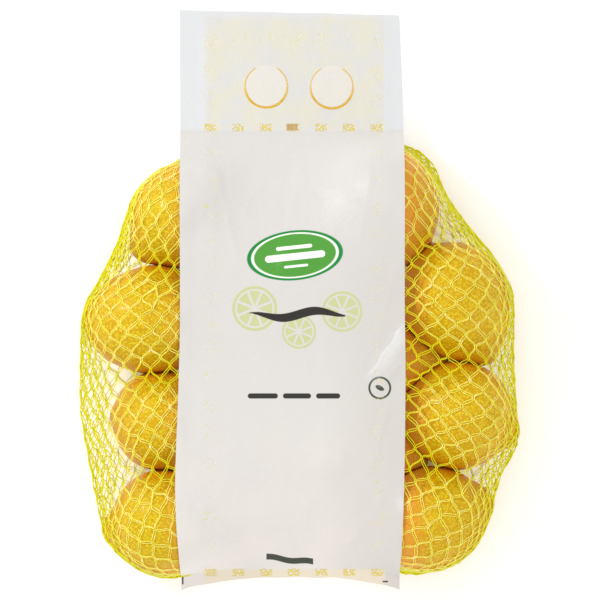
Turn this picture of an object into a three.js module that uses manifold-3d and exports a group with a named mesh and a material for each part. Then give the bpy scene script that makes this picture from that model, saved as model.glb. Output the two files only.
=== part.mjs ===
// A two pound net of lemons, lying on its back with its handle end at +Y and its front up at +Z.
// Eleven lemons fill a knitted tube. A strip of white film runs down the front and another down the
// back; above the fruit the two strips and the flattened net are welded into a handle with two
// finger flaps, and below it they are welded into a foot. The net is one closed solid stretched
// over the fruit, and each strip is a thin closed solid that lies on it.
// Millimetres. The origin is on the floor, under the middle of the whole thing.

import * as THREE from 'three';
import { mergeVertices } from 'three/addons/utils/BufferGeometryUtils.js';
import Module from 'manifold-3d';

// ---------------------------------------------------------------- driving dimensions

const FILM_THICKNESS = 0.5;
const GAP = 0.32;                    // air between film and net
const SINK = { share: 0.9, most: 14, thinnest: 3.5 };   // how far the net sinks between lemons
const NET_THICKNESS = 0.8;           // the flattened net between the two strips
const NET_OVER_FRUIT = 0.3;          // the net stands this far off the peel

const FILM_EDGE_X = [-60, 52.5];     // left and right edge of both strips
const NET_EDGE_X = [-46, 44];        // the flattened net is narrower than the strips
const HEADER_TOP_Y = [145.6, 143.4]; // top edge of the strips, at the left and at the right
const NET_TOP_Y = 139;
const HEADER_WELD_Y = 84;            // front and back part company here
const FOOT_WELD_Y = -134;            // and meet again here, in the middle of the strip
const FOOT_CORNER_DROP = 4.6;        // the foot's weld line is lower at its corners
const FOOT_FLAP = [5.2, 7.2];        // length of the foot flap, in the middle and at its corners
const NET_FLAP = 3.4;                // the net ends inside the foot flap

// Height of the line where front and back meet: the header hangs down to the floor.
const SEAM_HEIGHT = [[150, 1.6], [128, 2.6], [104, 7.2], [84, 13.2], [66, 20.5], [46, 26],
  [0, 26.6], [-118, 26.6], [-130, 25.2], [-138, 21.6], [-148, 17]];

// Finger flaps: two round cuts that stop short at the top, where each flap hangs.
const FLAP_CENTRES = [[-16.5, 107], [16.4, 106.6]];
const FLAP_RADIUS = 10.6;
const FLAP_SLOT = 0.7;
const FLAP_HINGE_ANGLE = 62;

// The silhouette of the filled net, from the handle end to the foot.
const LEFT_OUTLINE = [[-60, 68.5], [-70, 65], [-81.5, 54], [-86.5, 42], [-91.5, 27], [-100, 10],
  [-107.6, -5], [-109.4, -30], [-109.3, -56], [-105.5, -79], [-101, -102], [-97.5, -116],
  [-91, -127], [-78, -136.4], [-68, -139.2], [-60, -138.8]];
const RIGHT_OUTLINE = [[52.5, 77.4], [61.5, 73.2], [68, 66], [74, 52], [85, 36.5], [96, 23.5],
  [103.8, 11], [107.4, 0], [107.6, -30], [109, -56], [109.3, -69.5], [107.6, -77], [102.6, -85],
  [98.6, -96], [95, -110], [88.5, -122], [78, -131.4], [70, -135], [62, -137.2], [52.5, -137.6]];

// Lemons: middle, the way the blossom tip points in degrees from +X, girth, the distances from
// the middle to the blossom tip and to the stem end, and how much fatter the blossom half is.
const LEMONS = [
  { x: -56.3, y: 43.0, heading: 219, girth: 50.4, tip: 34.0, stem: 31.0, fuller: 0.03 },
  { x: -74.5, y: -10.2, heading: 4, girth: 53.8, tip: 37.0, stem: 34.0, fuller: 0.03 },
  { x: -68.0, y: -60.6, heading: -6, girth: 50.8, tip: 38.0, stem: 26.5, fuller: -0.01 },
  { x: -66.0, y: -111.4, heading: 188, girth: 52.8, tip: 32.4, stem: 34.0, fuller: 0.02 },
  { x: 42.0, y: 47.2, heading: -42, girth: 50.4, tip: 33.2, stem: 31.0, fuller: 0.06 },
  { x: 79.9, y: -4.4, heading: -63, girth: 54.2, tip: 31.4, stem: 33.2, fuller: 0 },
  { x: 78.0, y: -57.5, heading: -20, girth: 53.8, tip: 33.4, stem: 28.5, fuller: 0.05 },
  { x: 64.0, y: -109.6, heading: 18, girth: 52.6, tip: 34.5, stem: 28.0, fuller: 0 },
  { x: -1.8, y: 13.6, heading: 10, girth: 50.4, tip: 34.0, stem: 31.0, fuller: 0 },
  { x: 31.5, y: -30.8, heading: -1, girth: 48.6, tip: 43.0, stem: 31.0, fuller: -0.08 },
  { x: 22.5, y: -77.6, heading: -3, girth: 47.8, tip: 42.5, stem: 31.0, fuller: -0.07 },
];
const NIPPLE = { height: 4.4, width: 0.30 };
const STEM_BUTTON = { height: 1.4, width: 0.20 };

// Facets
const BODY_ROWS = 42;
const STRIP_COLUMNS = 12;
const SIDE_COLUMNS = 10;
const HEADER_ROWS = 7;
const FLAP_SEGMENTS = 9;
const RELAX_ROUNDS = 700;
const ALONG_PULL = 1.6;              // the net and film pull harder along the pack than across it

// ---------------------------------------------------------------- the fruit

const FRUIT_FLOOR = FILM_THICKNESS + GAP + NET_OVER_FRUIT;

const fruit = LEMONS.map((lemon) => {
  const angle = THREE.MathUtils.degToRad(lemon.heading);
  return {
    ...lemon,
    middle: new THREE.Vector3(lemon.x, lemon.y, FRUIT_FLOOR + lemon.girth / 2),
    axis: new THREE.Vector3(Math.cos(angle), Math.sin(angle), 0),
    reach: Math.max(lemon.tip, lemon.stem, lemon.girth / 2) + 1,
  };
});

// Distance from a lemon's middle to its peel, in the direction that makes angle theta with the
// blossom tip: an oval with a nipple on one end and a small stem button on the other.
function peelRadius(lemon, theta) {
  const cos = Math.cos(theta);
  const half = cos > 0 ? lemon.tip - NIPPLE.height : lemon.stem - STEM_BUTTON.height;
  const girth = lemon.girth / 2 * (1 + lemon.fuller * Math.sin(2 * theta));
  const oval = 1 / Math.hypot(cos / half, Math.sin(theta) / girth);
  const nipple = NIPPLE.height * Math.exp(-((theta / NIPPLE.width) ** 2));
  const button = STEM_BUTTON.height * Math.exp(-(((Math.PI - theta) / STEM_BUTTON.width) ** 2));
  return oval + nipple + button;
}

const arm = new THREE.Vector3();

// How far a point is outside the net on one lemon; arm is then the way from the lemon's middle.
function outsideOf(lemon, point) {
  arm.subVectors(point, lemon.middle);
  const distance = arm.length();
  const theta = Math.acos(THREE.MathUtils.clamp(arm.dot(lemon.axis) / distance, -1, 1));
  return distance - peelRadius(lemon, theta) - NET_OVER_FRUIT;
}

// Moves a point that has sunk into the fruit straight out to the net's distance from the peel.
function pushOffFruit(point) {
  for (const lemon of fruit) {
    if (point.distanceTo(lemon.middle) > lemon.reach) continue;
    const outside = outsideOf(lemon, point);
    if (outside < 0) point.addScaledVector(arm, -outside / arm.length());
  }
}

// ---------------------------------------------------------------- seams and outlines

const mix = THREE.MathUtils.lerp;

// Value at y of a smooth line through [y, value] stations listed from high y to low y.
const seamCurve = new THREE.SplineCurve(SEAM_HEIGHT.map(([y, z]) => new THREE.Vector2(y, z)));
const seamPoints = seamCurve.getPoints(200);
function seamHeight(y) {
  for (let i = 1; i < seamPoints.length; i += 1) {
    const [before, after] = [seamPoints[i - 1], seamPoints[i]];
    if (y >= after.x) return mix(before.y, after.y, (before.x - y) / (before.x - after.x));
  }
  return seamPoints.at(-1).y;
}

const stripMiddle = (FILM_EDGE_X[0] + FILM_EDGE_X[1]) / 2;
const stripHalf = (FILM_EDGE_X[1] - FILM_EDGE_X[0]) / 2;
const towardsCorner = (x) => Math.abs((x - stripMiddle) / stripHalf) ** 2.4;
const footWeld = (x) => FOOT_WELD_Y - FOOT_CORNER_DROP * towardsCorner(x);
const footFlap = (x) => mix(FOOT_FLAP[0], FOOT_FLAP[1], towardsCorner(x));

function outlineCurve(points) {
  return new THREE.CatmullRomCurve3(points.map(([x, y]) => new THREE.Vector3(x, y, 0)));
}

// ---------------------------------------------------------------- the stretched net

// All points of the skin, and for each point whether it is held and which points pull on it.
const skin = [];

function skinPoint(x, y, z, held) {
  skin.push({ place: new THREE.Vector3(x, y, z), held, holdX: false, pulls: [] });
  return skin.length - 1;
}

// One layer of the skin has three patches, each an array of rows of point numbers: the strip
// under the film, and a side patch from each edge of the strip out to the silhouette.
function rowY(row, x) {
  return mix(HEADER_WELD_Y, footWeld(x), row / BODY_ROWS);
}

function firstSideRow(outlineStartY) {
  return Math.round(BODY_ROWS * (HEADER_WELD_Y - outlineStartY) / (HEADER_WELD_Y - FOOT_WELD_Y));
}

const sides = [
  { edge: 0, curve: outlineCurve(LEFT_OUTLINE), start: firstSideRow(LEFT_OUTLINE[0][1]) },
  { edge: 1, curve: outlineCurve(RIGHT_OUTLINE), start: firstSideRow(RIGHT_OUTLINE[0][1]) },
];

// Points where front and back meet: both edges of the strip outside the side patches, and the
// silhouette along them.
for (const side of sides) {
  const x = FILM_EDGE_X[side.edge];
  side.closed = (row) => row <= side.start || row === BODY_ROWS;
  side.seam = [];
  for (let row = 0; row <= BODY_ROWS; row += 1) {
    if (side.closed(row)) {
      const y = row === BODY_ROWS ? footWeld(x) : rowY(row, x);
      side.seam.push(skinPoint(x, y, seamHeight(y), true));
    } else {
      const at = side.curve.getPointAt((row - side.start) / (BODY_ROWS - side.start));
      side.seam.push(skinPoint(at.x, at.y, seamHeight(at.y), true));
      pushOffFruit(skin.at(-1).place);
    }
  }
}

function makeLayer(up) {
  const crown = up ? 28 : -24;
  const strip = [];
  for (let row = 0; row <= BODY_ROWS; row += 1) {
    const line = [];
    for (let column = 0; column <= STRIP_COLUMNS; column += 1) {
      const x = mix(FILM_EDGE_X[0], FILM_EDGE_X[1], column / STRIP_COLUMNS);
      const y = rowY(row, x);
      const side = column === 0 ? sides[0] : column === STRIP_COLUMNS ? sides[1] : null;
      if (side && side.closed(row)) {
        line.push(side.seam[row]);
        continue;
      }
      const held = row === 0 || row === BODY_ROWS;
      const bulge = Math.min(1, 4 * Math.sin(Math.PI * row / BODY_ROWS)) * crown;
      const half = (up ? 1 : -1) * NET_THICKNESS / 2;
      line.push(skinPoint(x, y, seamHeight(y) + (held ? half : bulge), held));
      skin.at(-1).holdX = side !== null;
    }
    strip.push(line);
  }
  const patches = sides.map((side) => {
    const patch = [];
    for (let row = side.start; row <= BODY_ROWS; row += 1) {
      const inner = strip[row][side.edge * STRIP_COLUMNS];
      if (side.closed(row)) {
        patch.push(Array(SIDE_COLUMNS + 1).fill(inner));
        continue;
      }
      const outer = side.seam[row];
      const line = [outer];
      for (let column = 1; column < SIDE_COLUMNS; column += 1) {
        const share = (1 - Math.cos(Math.PI / 2 * column / SIDE_COLUMNS));
        const place = skin[outer].place.clone().lerp(skin[inner].place, share);
        line.push(skinPoint(place.x, place.y, place.z, false));
      }
      line.push(inner);
      patch.push(line);
    }
    return patch;
  });
  return { strip, patches };
}

function linkPatch(patch) {
  const pull = (a, b, weight) => {
    if (a !== b) skin[a].pulls.push([b, weight]);
  };
  for (let row = 0; row < patch.length; row += 1) {
    for (let column = 0; column < patch[row].length; column += 1) {
      const here = patch[row][column];
      if (column > 0) pull(here, patch[row][column - 1], 1);
      if (column + 1 < patch[row].length) pull(here, patch[row][column + 1], 1);
      if (row > 0) pull(here, patch[row - 1][column], ALONG_PULL);
      if (row + 1 < patch.length) pull(here, patch[row + 1][column], ALONG_PULL);
    }
  }
}

// Every free point moves to the weighted middle of its neighbours, and is then kept off the
// fruit and above the back strip, until the skin lies taut.
function relaxSkin() {
  const target = new THREE.Vector3();
  const lowest = FILM_THICKNESS + GAP;
  for (let round = 0; round < RELAX_ROUNDS; round += 1) {
    for (const point of skin) {
      if (point.held) continue;
      target.set(0, 0, 0);
      let total = 0;
      for (const [neighbour, weight] of point.pulls) {
        target.addScaledVector(skin[neighbour].place, weight);
        total += weight;
      }
      target.divideScalar(total);
      if (point.holdX) target.x = point.place.x;
      pushOffFruit(target);
      if (point.holdX) target.x = point.place.x;
      target.z = Math.max(target.z, lowest);
      point.place.copy(target);
    }
  }
}

const front = makeLayer(true);
const back = makeLayer(false);
for (const layer of [front, back]) {
  linkPatch(layer.strip);
  layer.patches.forEach(linkPatch);
}
relaxSkin();

// Beside the film the open net lets the fruit show, so there the skin sinks from the taut net
// towards the peel wherever it hangs clear, and each lemon stands out from its neighbours.
function sinkBetweenFruit(layer) {
  const sinking = layer.patches.flat().flatMap((line) => line.slice(1, -1))
    .map((number) => skin[number]).filter((point) => !point.held);
  const drops = sinking.map(({ place }) => {
    const clear = Math.max(0, Math.min(...fruit.map((lemon) => outsideOf(lemon, place))));
    const room = Math.max(0, Math.abs(place.z - seamHeight(place.y)) - SINK.thinnest);
    return Math.min(SINK.share * clear, SINK.most, room);
  });
  sinking.forEach(({ place }, index) => {
    place.z -= Math.sign(place.z - seamHeight(place.y)) * drops[index];
    pushOffFruit(place);
  });
}

sinkBetweenFruit(front);
sinkBetweenFruit(back);

// ---------------------------------------------------------------- solids from sheets of points

class Solid {
  constructor() {
    this.positions = [];
    this.triangles = [];
  }

  point(place) {
    this.positions.push(place.x, place.y, place.z);
    return this.positions.length / 3 - 1;
  }

  triangle(a, b, c) {
    if (a !== b && b !== c && c !== a) this.triangles.push(a, b, c);
  }

  // A sheet between two rows of point numbers; the rows run left to right seen from above.
  band(upper, lower, facesUp) {
    for (let column = 0; column + 1 < upper.length; column += 1) {
      const [a, b] = [upper[column], upper[column + 1]];
      const [c, d] = [lower[column], lower[column + 1]];
      if (facesUp) {
        this.triangle(a, c, d);
        this.triangle(a, d, b);
      } else {
        this.triangle(a, d, c);
        this.triangle(a, b, d);
      }
    }
  }

  sheet(rows, facesUp) {
    for (let row = 0; row + 1 < rows.length; row += 1) this.band(rows[row], rows[row + 1], facesUp);
  }

  geometry() {
    const shape = new THREE.BufferGeometry();
    shape.setAttribute('position', new THREE.Float32BufferAttribute(this.positions, 3));
    shape.setIndex(this.triangles);
    return mergeVertices(shape, 1e-4);
  }
}

// A row of the flattened net between the strips, above the header weld or below the foot weld.
function flatNetRow(solid, y, side, thickness) {
  const row = [];
  for (let column = 0; column <= STRIP_COLUMNS; column += 1) {
    const share = column / STRIP_COLUMNS;
    const x = mix(NET_EDGE_X[0], NET_EDGE_X[1], share);
    const rim = column === 0 || column === STRIP_COLUMNS;
    const height = seamHeight(y(x)) + (rim ? 0 : side * thickness / 2);
    row.push(solid.point(new THREE.Vector3(x, y(x), height)));
  }
  return row;
}

function netBag() {
  const solid = new Solid();
  skin.forEach((point) => solid.point(point.place));
  for (const [layer, side] of [[front, 1], [back, -1]]) {
    const facesUp = side > 0;
    const rows = [];
    for (let row = 0; row < HEADER_ROWS; row += 1) {
      const y = mix(NET_TOP_Y, HEADER_WELD_Y + 5, row / (HEADER_ROWS - 1));
      rows.push(flatNetRow(solid, () => y, side, row === 0 ? 0 : NET_THICKNESS));
    }
    rows.push(...layer.strip);
    rows.push(flatNetRow(solid, (x) => footWeld(x) - NET_FLAP / 2, side, NET_THICKNESS));
    rows.push(flatNetRow(solid, (x) => footWeld(x) - NET_FLAP, side, 0));
    solid.sheet(rows, facesUp);
    solid.sheet(layer.patches[0], facesUp);
    solid.sheet(layer.patches[1].map((line) => [...line].reverse()), facesUp);
  }
  return solid.geometry();
}

// Unit normals of a sheet of places, all on its upper side.
function sheetNormals(rows) {
  const [along, across] = [new THREE.Vector3(), new THREE.Vector3()];
  return rows.map((line, row) => line.map((_, column) => {
    const above = rows[Math.max(row - 1, 0)][column];
    const below = rows[Math.min(row + 1, rows.length - 1)][column];
    along.subVectors(above, below);
    across.subVectors(line[Math.min(column + 1, line.length - 1)], line[Math.max(column - 1, 0)]);
    return new THREE.Vector3().crossVectors(across, along).normalize();
  }));
}

// One strip of film: it follows the net over the fruit and goes on into the header and the foot.
function filmStrip(layer, side) {
  const places = [];
  const flatPlace = (x, y) => {
    return new THREE.Vector3(x, y, seamHeight(y) + side * NET_THICKNESS / 2);
  };
  for (let row = 0; row < HEADER_ROWS; row += 1) {
    const line = [];
    for (let column = 0; column <= STRIP_COLUMNS; column += 1) {
      const share = column / STRIP_COLUMNS;
      const top = mix(HEADER_TOP_Y[0], HEADER_TOP_Y[1], share);
      const y = mix(top, HEADER_WELD_Y + 5, row / (HEADER_ROWS - 1));
      line.push(flatPlace(mix(FILM_EDGE_X[0], FILM_EDGE_X[1], share), y));
    }
    places.push(line);
  }
  for (const row of layer.strip) places.push(row.map((number) => skin[number].place.clone()));
  for (const share of [0.5, 1]) {
    places.push(places.at(-1).map((_, column) => {
      const x = mix(FILM_EDGE_X[0], FILM_EDGE_X[1], column / STRIP_COLUMNS);
      return flatPlace(x, footWeld(x) - footFlap(x) * share);
    }));
  }
  const normals = sheetNormals(places);
  const solid = new Solid();
  const faces = [GAP, GAP + FILM_THICKNESS].map((distance) => {
    return places.map((line, row) => line.map((place, column) => {
      const moved = place.clone().addScaledVector(normals[row][column], side * distance);
      return solid.point(moved);
    }));
  });
  const [upper, lower] = side > 0 ? [faces[1], faces[0]] : [faces[0], faces[1]];
  solid.sheet(upper, true);
  solid.sheet(lower, false);
  solid.band(lower[0], upper[0], true);
  solid.band(upper.at(-1), lower.at(-1), true);
  for (const column of [0, STRIP_COLUMNS]) {
    const [one, other] = [upper.map((line) => line[column]), lower.map((line) => line[column])];
    solid.band(one, other, column === 0);
  }
  return solid.geometry();
}

// ---------------------------------------------------------------- finger flaps

const wasm = await Module();
wasm.setup();

function toManifold(geometry) {
  return new wasm.Manifold(new wasm.Mesh({
    numProp: 3,
    vertProperties: new Float32Array(geometry.attributes.position.array),
    triVerts: new Uint32Array(geometry.index.array),
  }));
}

function fromManifold(manifold) {
  const mesh = manifold.getMesh();
  const geometry = new THREE.BufferGeometry();
  geometry.setAttribute('position', new THREE.BufferAttribute(mesh.vertProperties, 3));
  geometry.setIndex(new THREE.BufferAttribute(mesh.triVerts, 1));
  return geometry;
}

// The cutter of one finger flap: an upright C that is open at the top.
function flapCutter([x, y], slot) {
  const open = THREE.MathUtils.degToRad(FLAP_HINGE_ANGLE / 2);
  const [from, to] = [Math.PI / 2 + open, Math.PI * 5 / 2 - open];
  const outline = new THREE.Shape();
  outline.absarc(0, 0, FLAP_RADIUS + slot / 2, from, to, false);
  outline.absarc(0, 0, FLAP_RADIUS - slot / 2, to, from, true);
  outline.closePath();
  const cutter = new THREE.ExtrudeGeometry(outline, {
    depth: 60, bevelEnabled: false, curveSegments: FLAP_SEGMENTS,
  });
  cutter.deleteAttribute('normal');
  cutter.deleteAttribute('uv');
  cutter.translate(x, y, -20);
  return toManifold(mergeVertices(cutter, 1e-4));
}

function withFingerFlaps(geometry) {
  let solid = toManifold(geometry);
  for (const centre of FLAP_CENTRES) solid = solid.subtract(flapCutter(centre, FLAP_SLOT));
  return fromManifold(solid);
}

// ---------------------------------------------------------------- the part

const netYellow = new THREE.MeshStandardMaterial({ color: 0xe8c832, roughness: 0.55, metalness: 0 });
const filmWhite = new THREE.MeshStandardMaterial({ color: 0xebe8e3, roughness: 0.35, metalness: 0 });

function piece(name, geometry, material) {
  const mesh = new THREE.Mesh(withFingerFlaps(geometry), material);
  mesh.name = name;
  return mesh;
}

const netOfLemons = new THREE.Group();
netOfLemons.add(
  piece('net_bag', netBag(), netYellow),
  piece('front_film', filmStrip(front, 1), filmWhite),
  piece('back_film', filmStrip(back, -1), filmWhite),
);

export default netOfLemons;
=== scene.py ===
# %% [markdown]
# # A net of lemons
# Eleven lemons fill a knitted yellow net. A strip of white film runs down its front and another down
# its back; above the fruit the strips and the net are welded into a flat handle with two finger
# flaps, and below it into a short foot. The pack lies on its back, so the front looks up.
# This notebook builds it from the inside out: the lemons first, then the film that lies over
# them, then the net, thread by thread. Everything is measured in millimetres and turned into
# metres when a mesh is made.

# %% Load the frame
import functools
import math
import bpy
import numpy as np
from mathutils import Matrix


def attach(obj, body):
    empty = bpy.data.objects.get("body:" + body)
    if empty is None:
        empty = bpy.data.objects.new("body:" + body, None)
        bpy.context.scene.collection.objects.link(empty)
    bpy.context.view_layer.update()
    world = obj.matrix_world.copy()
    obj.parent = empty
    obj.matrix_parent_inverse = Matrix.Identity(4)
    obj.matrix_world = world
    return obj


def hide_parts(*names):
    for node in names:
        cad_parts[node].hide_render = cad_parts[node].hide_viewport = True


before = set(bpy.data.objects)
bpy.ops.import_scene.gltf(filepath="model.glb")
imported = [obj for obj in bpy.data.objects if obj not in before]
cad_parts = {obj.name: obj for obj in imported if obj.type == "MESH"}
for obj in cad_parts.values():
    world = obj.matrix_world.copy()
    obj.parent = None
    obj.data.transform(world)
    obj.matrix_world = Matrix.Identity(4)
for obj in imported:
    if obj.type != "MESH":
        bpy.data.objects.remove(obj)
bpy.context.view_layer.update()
MM = 0.001
dice = np.random.default_rng(907)

# %% [markdown]
# ## Driving sizes
# The film strips are 113 mm wide and straight but for a little waver at their edges. Front and
# back meet on a line whose height falls from the middle of the fruit to the floor, because the
# handle is limp and hangs down. The silhouette of the filled net is a smooth line through a few
# places on each side. All else is worked out from these lines and from the fruit.

# %% Driving sizes
FILM_RISE = 0.95          # the film's middle stands this far off the peel
FILM_THICKNESS = 0.2
FILM_FLOOR = 0.16         # the film's middle is never lower than this
NET_RISE = 0.42           # the net's middle stands this far off the peel
NET_FLOOR = 0.45
THREAD_RADIUS = 0.25
FRUIT_FLOOR = 1.12        # the lowest point of every lemon, but for its lumps

HEADER_WELD_Y = 84
HEADER_TOP_Y = (145.4, 143.0)     # the left and the right corner
NET_TOP_Y = 139
NET_EDGE_X = (-46, 44)    # the flat net in the header
FOOT_WELD_Y = -134
FOOT_CORNER_DROP = 4.6    # the foot's weld lies this much further down at the corners
FOOT_CURVE = 2.4          # the power of its curve
FOOT_FLAP = (4.7, 7.4)    # how far the foot reaches past its weld, in the middle and at a corner
FILM_MIDDLE_X = -4
FILM_HALF_WIDTH = 56.3

# y and height of the line where front and back meet, then y and x of the film's edges
SEAM_HEIGHT = [(150, 1.6), (128, 2.6), (104, 7.2), (84, 13.2), (66, 20.5), (46, 26), (0, 26.6),
               (-118, 26.6), (-130, 25.2), (-138, 21.6), (-148, 17)]
FILM_LEFT = [(150, -60), (4, -59.2), (-41, -59.9), (-96, -61.6), (-138, -59), (-148, -58)]
FILM_RIGHT = [(150, 50.2), (84, 52.4), (0, 52.6), (-41, 53), (-100, 52.2), (-138, 50.4),
              (-148, 49)]

# x and y of the silhouette, from the header down
FOLD_LEFT = [(-46, 84), (-60, 68.5), (-70, 65), (-81.5, 54), (-86.5, 42), (-91.5, 27), (-100, 10),
             (-107.6, -5), (-109.4, -30), (-109.3, -56), (-105.5, -79), (-101, -102),
             (-97.5, -116), (-91, -127), (-78, -136.4), (-68, -139.2), (-58, -138.6), (-47, -134)]
FOLD_RIGHT = [(44, 84), (52.5, 77.4), (61.5, 73.2), (68, 66), (74, 52), (85, 36.5), (96, 23.5),
              (103.8, 11), (107.4, 0), (107.6, -30), (109, -56), (109.3, -69.5), (107.6, -77),
              (102.6, -85), (98.6, -96), (95, -110), (88.5, -122), (78, -131.4), (70, -135),
              (62, -137.2), (52.5, -137), (42, -134)]


def mix(a, b, share):
    return a + (b - a) * share


def smooth_step(low, high, value):
    share = np.clip((value - low) / (high - low), 0, 1)
    return share * share * (3 - 2 * share)


def smooth_line(points, per_step=24):
    """A smooth line through points, as many small steps."""
    p = np.array(points, float)
    p = np.vstack([2 * p[0] - p[1], p, 2 * p[-1] - p[-2]])
    t = np.linspace(0, 1, per_step, endpoint=False)[:, None]
    runs = []
    for a, b, c, d in zip(p[:-3], p[1:-2], p[2:-1], p[3:]):
        runs.append(0.5 * (2 * b + (c - a) * t + (2 * a - 5 * b + 4 * c - d) * t**2
                           + (3 * b - a - 3 * c + d) * t**3))
    return np.vstack([*runs, p[-2:-1]])


def along_line(line, shares):
    """Points at given shares of a line's length."""
    step = np.linalg.norm(np.diff(line, axis=0), axis=1)
    reach = np.concatenate([[0], np.cumsum(step)]) / step.sum()
    return np.stack([np.interp(shares, reach, line[:, k]) for k in range(line.shape[1])], axis=-1)


def unit(vectors):
    return vectors / np.maximum(np.linalg.norm(vectors, axis=-1, keepdims=True), 1e-9)


def reader(points):
    """A function that reads the value beside y off a smooth line through (y, value) points."""
    line = smooth_line(points)[::-1]
    return lambda y: np.interp(y, line[:, 0], line[:, 1])


seam_height = reader(SEAM_HEIGHT)
film_left = reader(FILM_LEFT)
film_right = reader(FILM_RIGHT)


def foot_corner(x):
    """0 in the middle of the foot and about 1 at its corners."""
    return np.abs((np.asarray(x) - FILM_MIDDLE_X) / FILM_HALF_WIDTH) ** FOOT_CURVE


def foot_weld(x):
    return FOOT_WELD_Y - FOOT_CORNER_DROP * foot_corner(x)


print("seam height at the header weld", round(float(seam_height(HEADER_WELD_Y)), 1), "mm")

# %% [markdown]
# ## The shape of a lemon
# A lemon is an oval with a nipple where the blossom was and a small button where the stem was.
# Written as a distance from the middle for each angle to the tip, it can be used twice: to shape
# the fruit, and later to keep film and net from sinking into it. Each lemon has its own girth
# and length. The three in the middle lie behind the film and carry it.

# %% The lemons' sizes and places
# x, y, the way the tip points in degrees, girth, tip reach, stem reach, fuller blossom half
LEMONS = {
    "lemon_left_1": (-56.3, 43.0, 219, 50.4, 34.0, 31.0, 0.03),
    "lemon_left_2": (-74.5, -10.2, 4, 53.8, 37.0, 34.0, 0.03),
    "lemon_left_3": (-68.0, -60.6, -6, 50.8, 38.0, 26.5, -0.01),
    "lemon_left_4": (-66.0, -111.4, 188, 52.8, 32.4, 34.0, 0.02),
    "lemon_right_1": (42.8, 47.6, -60, 52.8, 34.0, 32.5, 0.0),
    "lemon_right_2": (80.0, -4.4, -61, 54.3, 31.8, 35.8, -0.08),
    "lemon_right_3": (78.0, -57.3, -20, 54.1, 33.4, 28.5, 0.05),
    "lemon_right_4": (64.0, -109.6, 18, 52.6, 34.5, 28.0, 0.0),
    "lemon_middle_1": (-1.8, 13.6, 10, 50.4, 34.0, 31.0, 0.0),
    "lemon_middle_2": (31.5, -30.8, -1, 48.6, 43.0, 31.0, -0.08),
    "lemon_middle_3": (22.5, -77.6, -3, 47.8, 42.5, 31.0, -0.07),
}
NIPPLE = (4.4, 0.30)      # height in mm, width in radians
BUTTON = (1.4, 0.20)
POINTED = 0.94            # a lemon fills this share of an oval as long and as thick

# from 0, deep orange, to 1, a clear light yellow; the low value of lemon_right_1 is partly
# painted shade, for the film's shadow that it lies in
RIPENESS_AND_SHADE = {"lemon_left_1": 0.8, "lemon_left_2": 0.55, "lemon_left_3": 0.5, "lemon_left_4": 0.7,
            "lemon_right_1": 0.12, "lemon_right_2": 0.42, "lemon_right_3": 0.5,
            "lemon_right_4": 0.45}
RIPENESS_IN_MIDDLE = 0.3


class Lemon:
    """One fruit: where it lies, and how far its peel is from its middle each way."""

    def __init__(self, name, x, y, heading, girth, tip, stem, fuller):
        self.name = name
        self.in_middle = name.startswith("lemon_middle")
        self.girth = girth
        self.tip = tip
        self.stem = stem
        self.fuller = fuller
        turn = math.radians(heading)
        self.middle = np.array([x, y, FRUIT_FLOOR + girth / 2])
        self.axis = np.array([math.cos(turn), math.sin(turn), 0])
        self.side = np.array([-math.sin(turn), math.cos(turn), 0])

    def radius(self, cos):
        """Distance from the middle to the peel, where cos is that of the angle to the tip."""
        angle = np.arccos(np.clip(cos, -1, 1))
        half = np.where(cos > 0, self.tip - NIPPLE[0], self.stem - BUTTON[0])
        girth = self.girth / 2 * (1 + self.fuller * np.sin(2 * angle))
        oval = 1 / np.hypot(cos / half, np.sin(angle) / girth)
        nipple = NIPPLE[0] * np.exp(-(angle / NIPPLE[1]) ** 2)
        return oval + nipple + BUTTON[0] * np.exp(-((math.pi - angle) / BUTTON[1]) ** 2)

    def room(self, points):
        """How far points are from the peel, less than zero inside it."""
        arm = points - self.middle
        distance = np.linalg.norm(arm, axis=-1)
        return distance - self.radius(arm @ self.axis / distance)


lemons = [Lemon(name, *sizes) for name, sizes in LEMONS.items()]


def room_to_fruit(points, leave_out=None):
    """How far points are from the nearest peel, with one lemon left out of it."""
    rooms = [lemon.room(points) for lemon in lemons if lemon is not leave_out]
    return np.maximum(np.min(rooms, axis=0), 0)


def push_off_fruit(points, clearance):
    """Moves points that have sunk into the fruit out along the line from its middle."""
    flat = points.reshape(-1, 3)
    for lemon in lemons:
        arm = flat - lemon.middle
        distance = np.linalg.norm(arm, axis=1)
        near = np.flatnonzero(distance < max(lemon.tip, lemon.stem) + clearance)
        arm = arm[near]
        distance = distance[near]
        wanted = lemon.radius(arm @ lemon.axis / distance) + clearance
        grow = np.maximum(wanted / distance, 1)
        flat[near] = lemon.middle + arm * grow[:, None]
    return points


volume = sum(np.pi / 6 * lemon.girth**2 * (lemon.tip + lemon.stem) * POINTED for lemon in lemons)
print(len(lemons), "lemons,", round(volume / 1000), "cubic centimetres")
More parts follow.
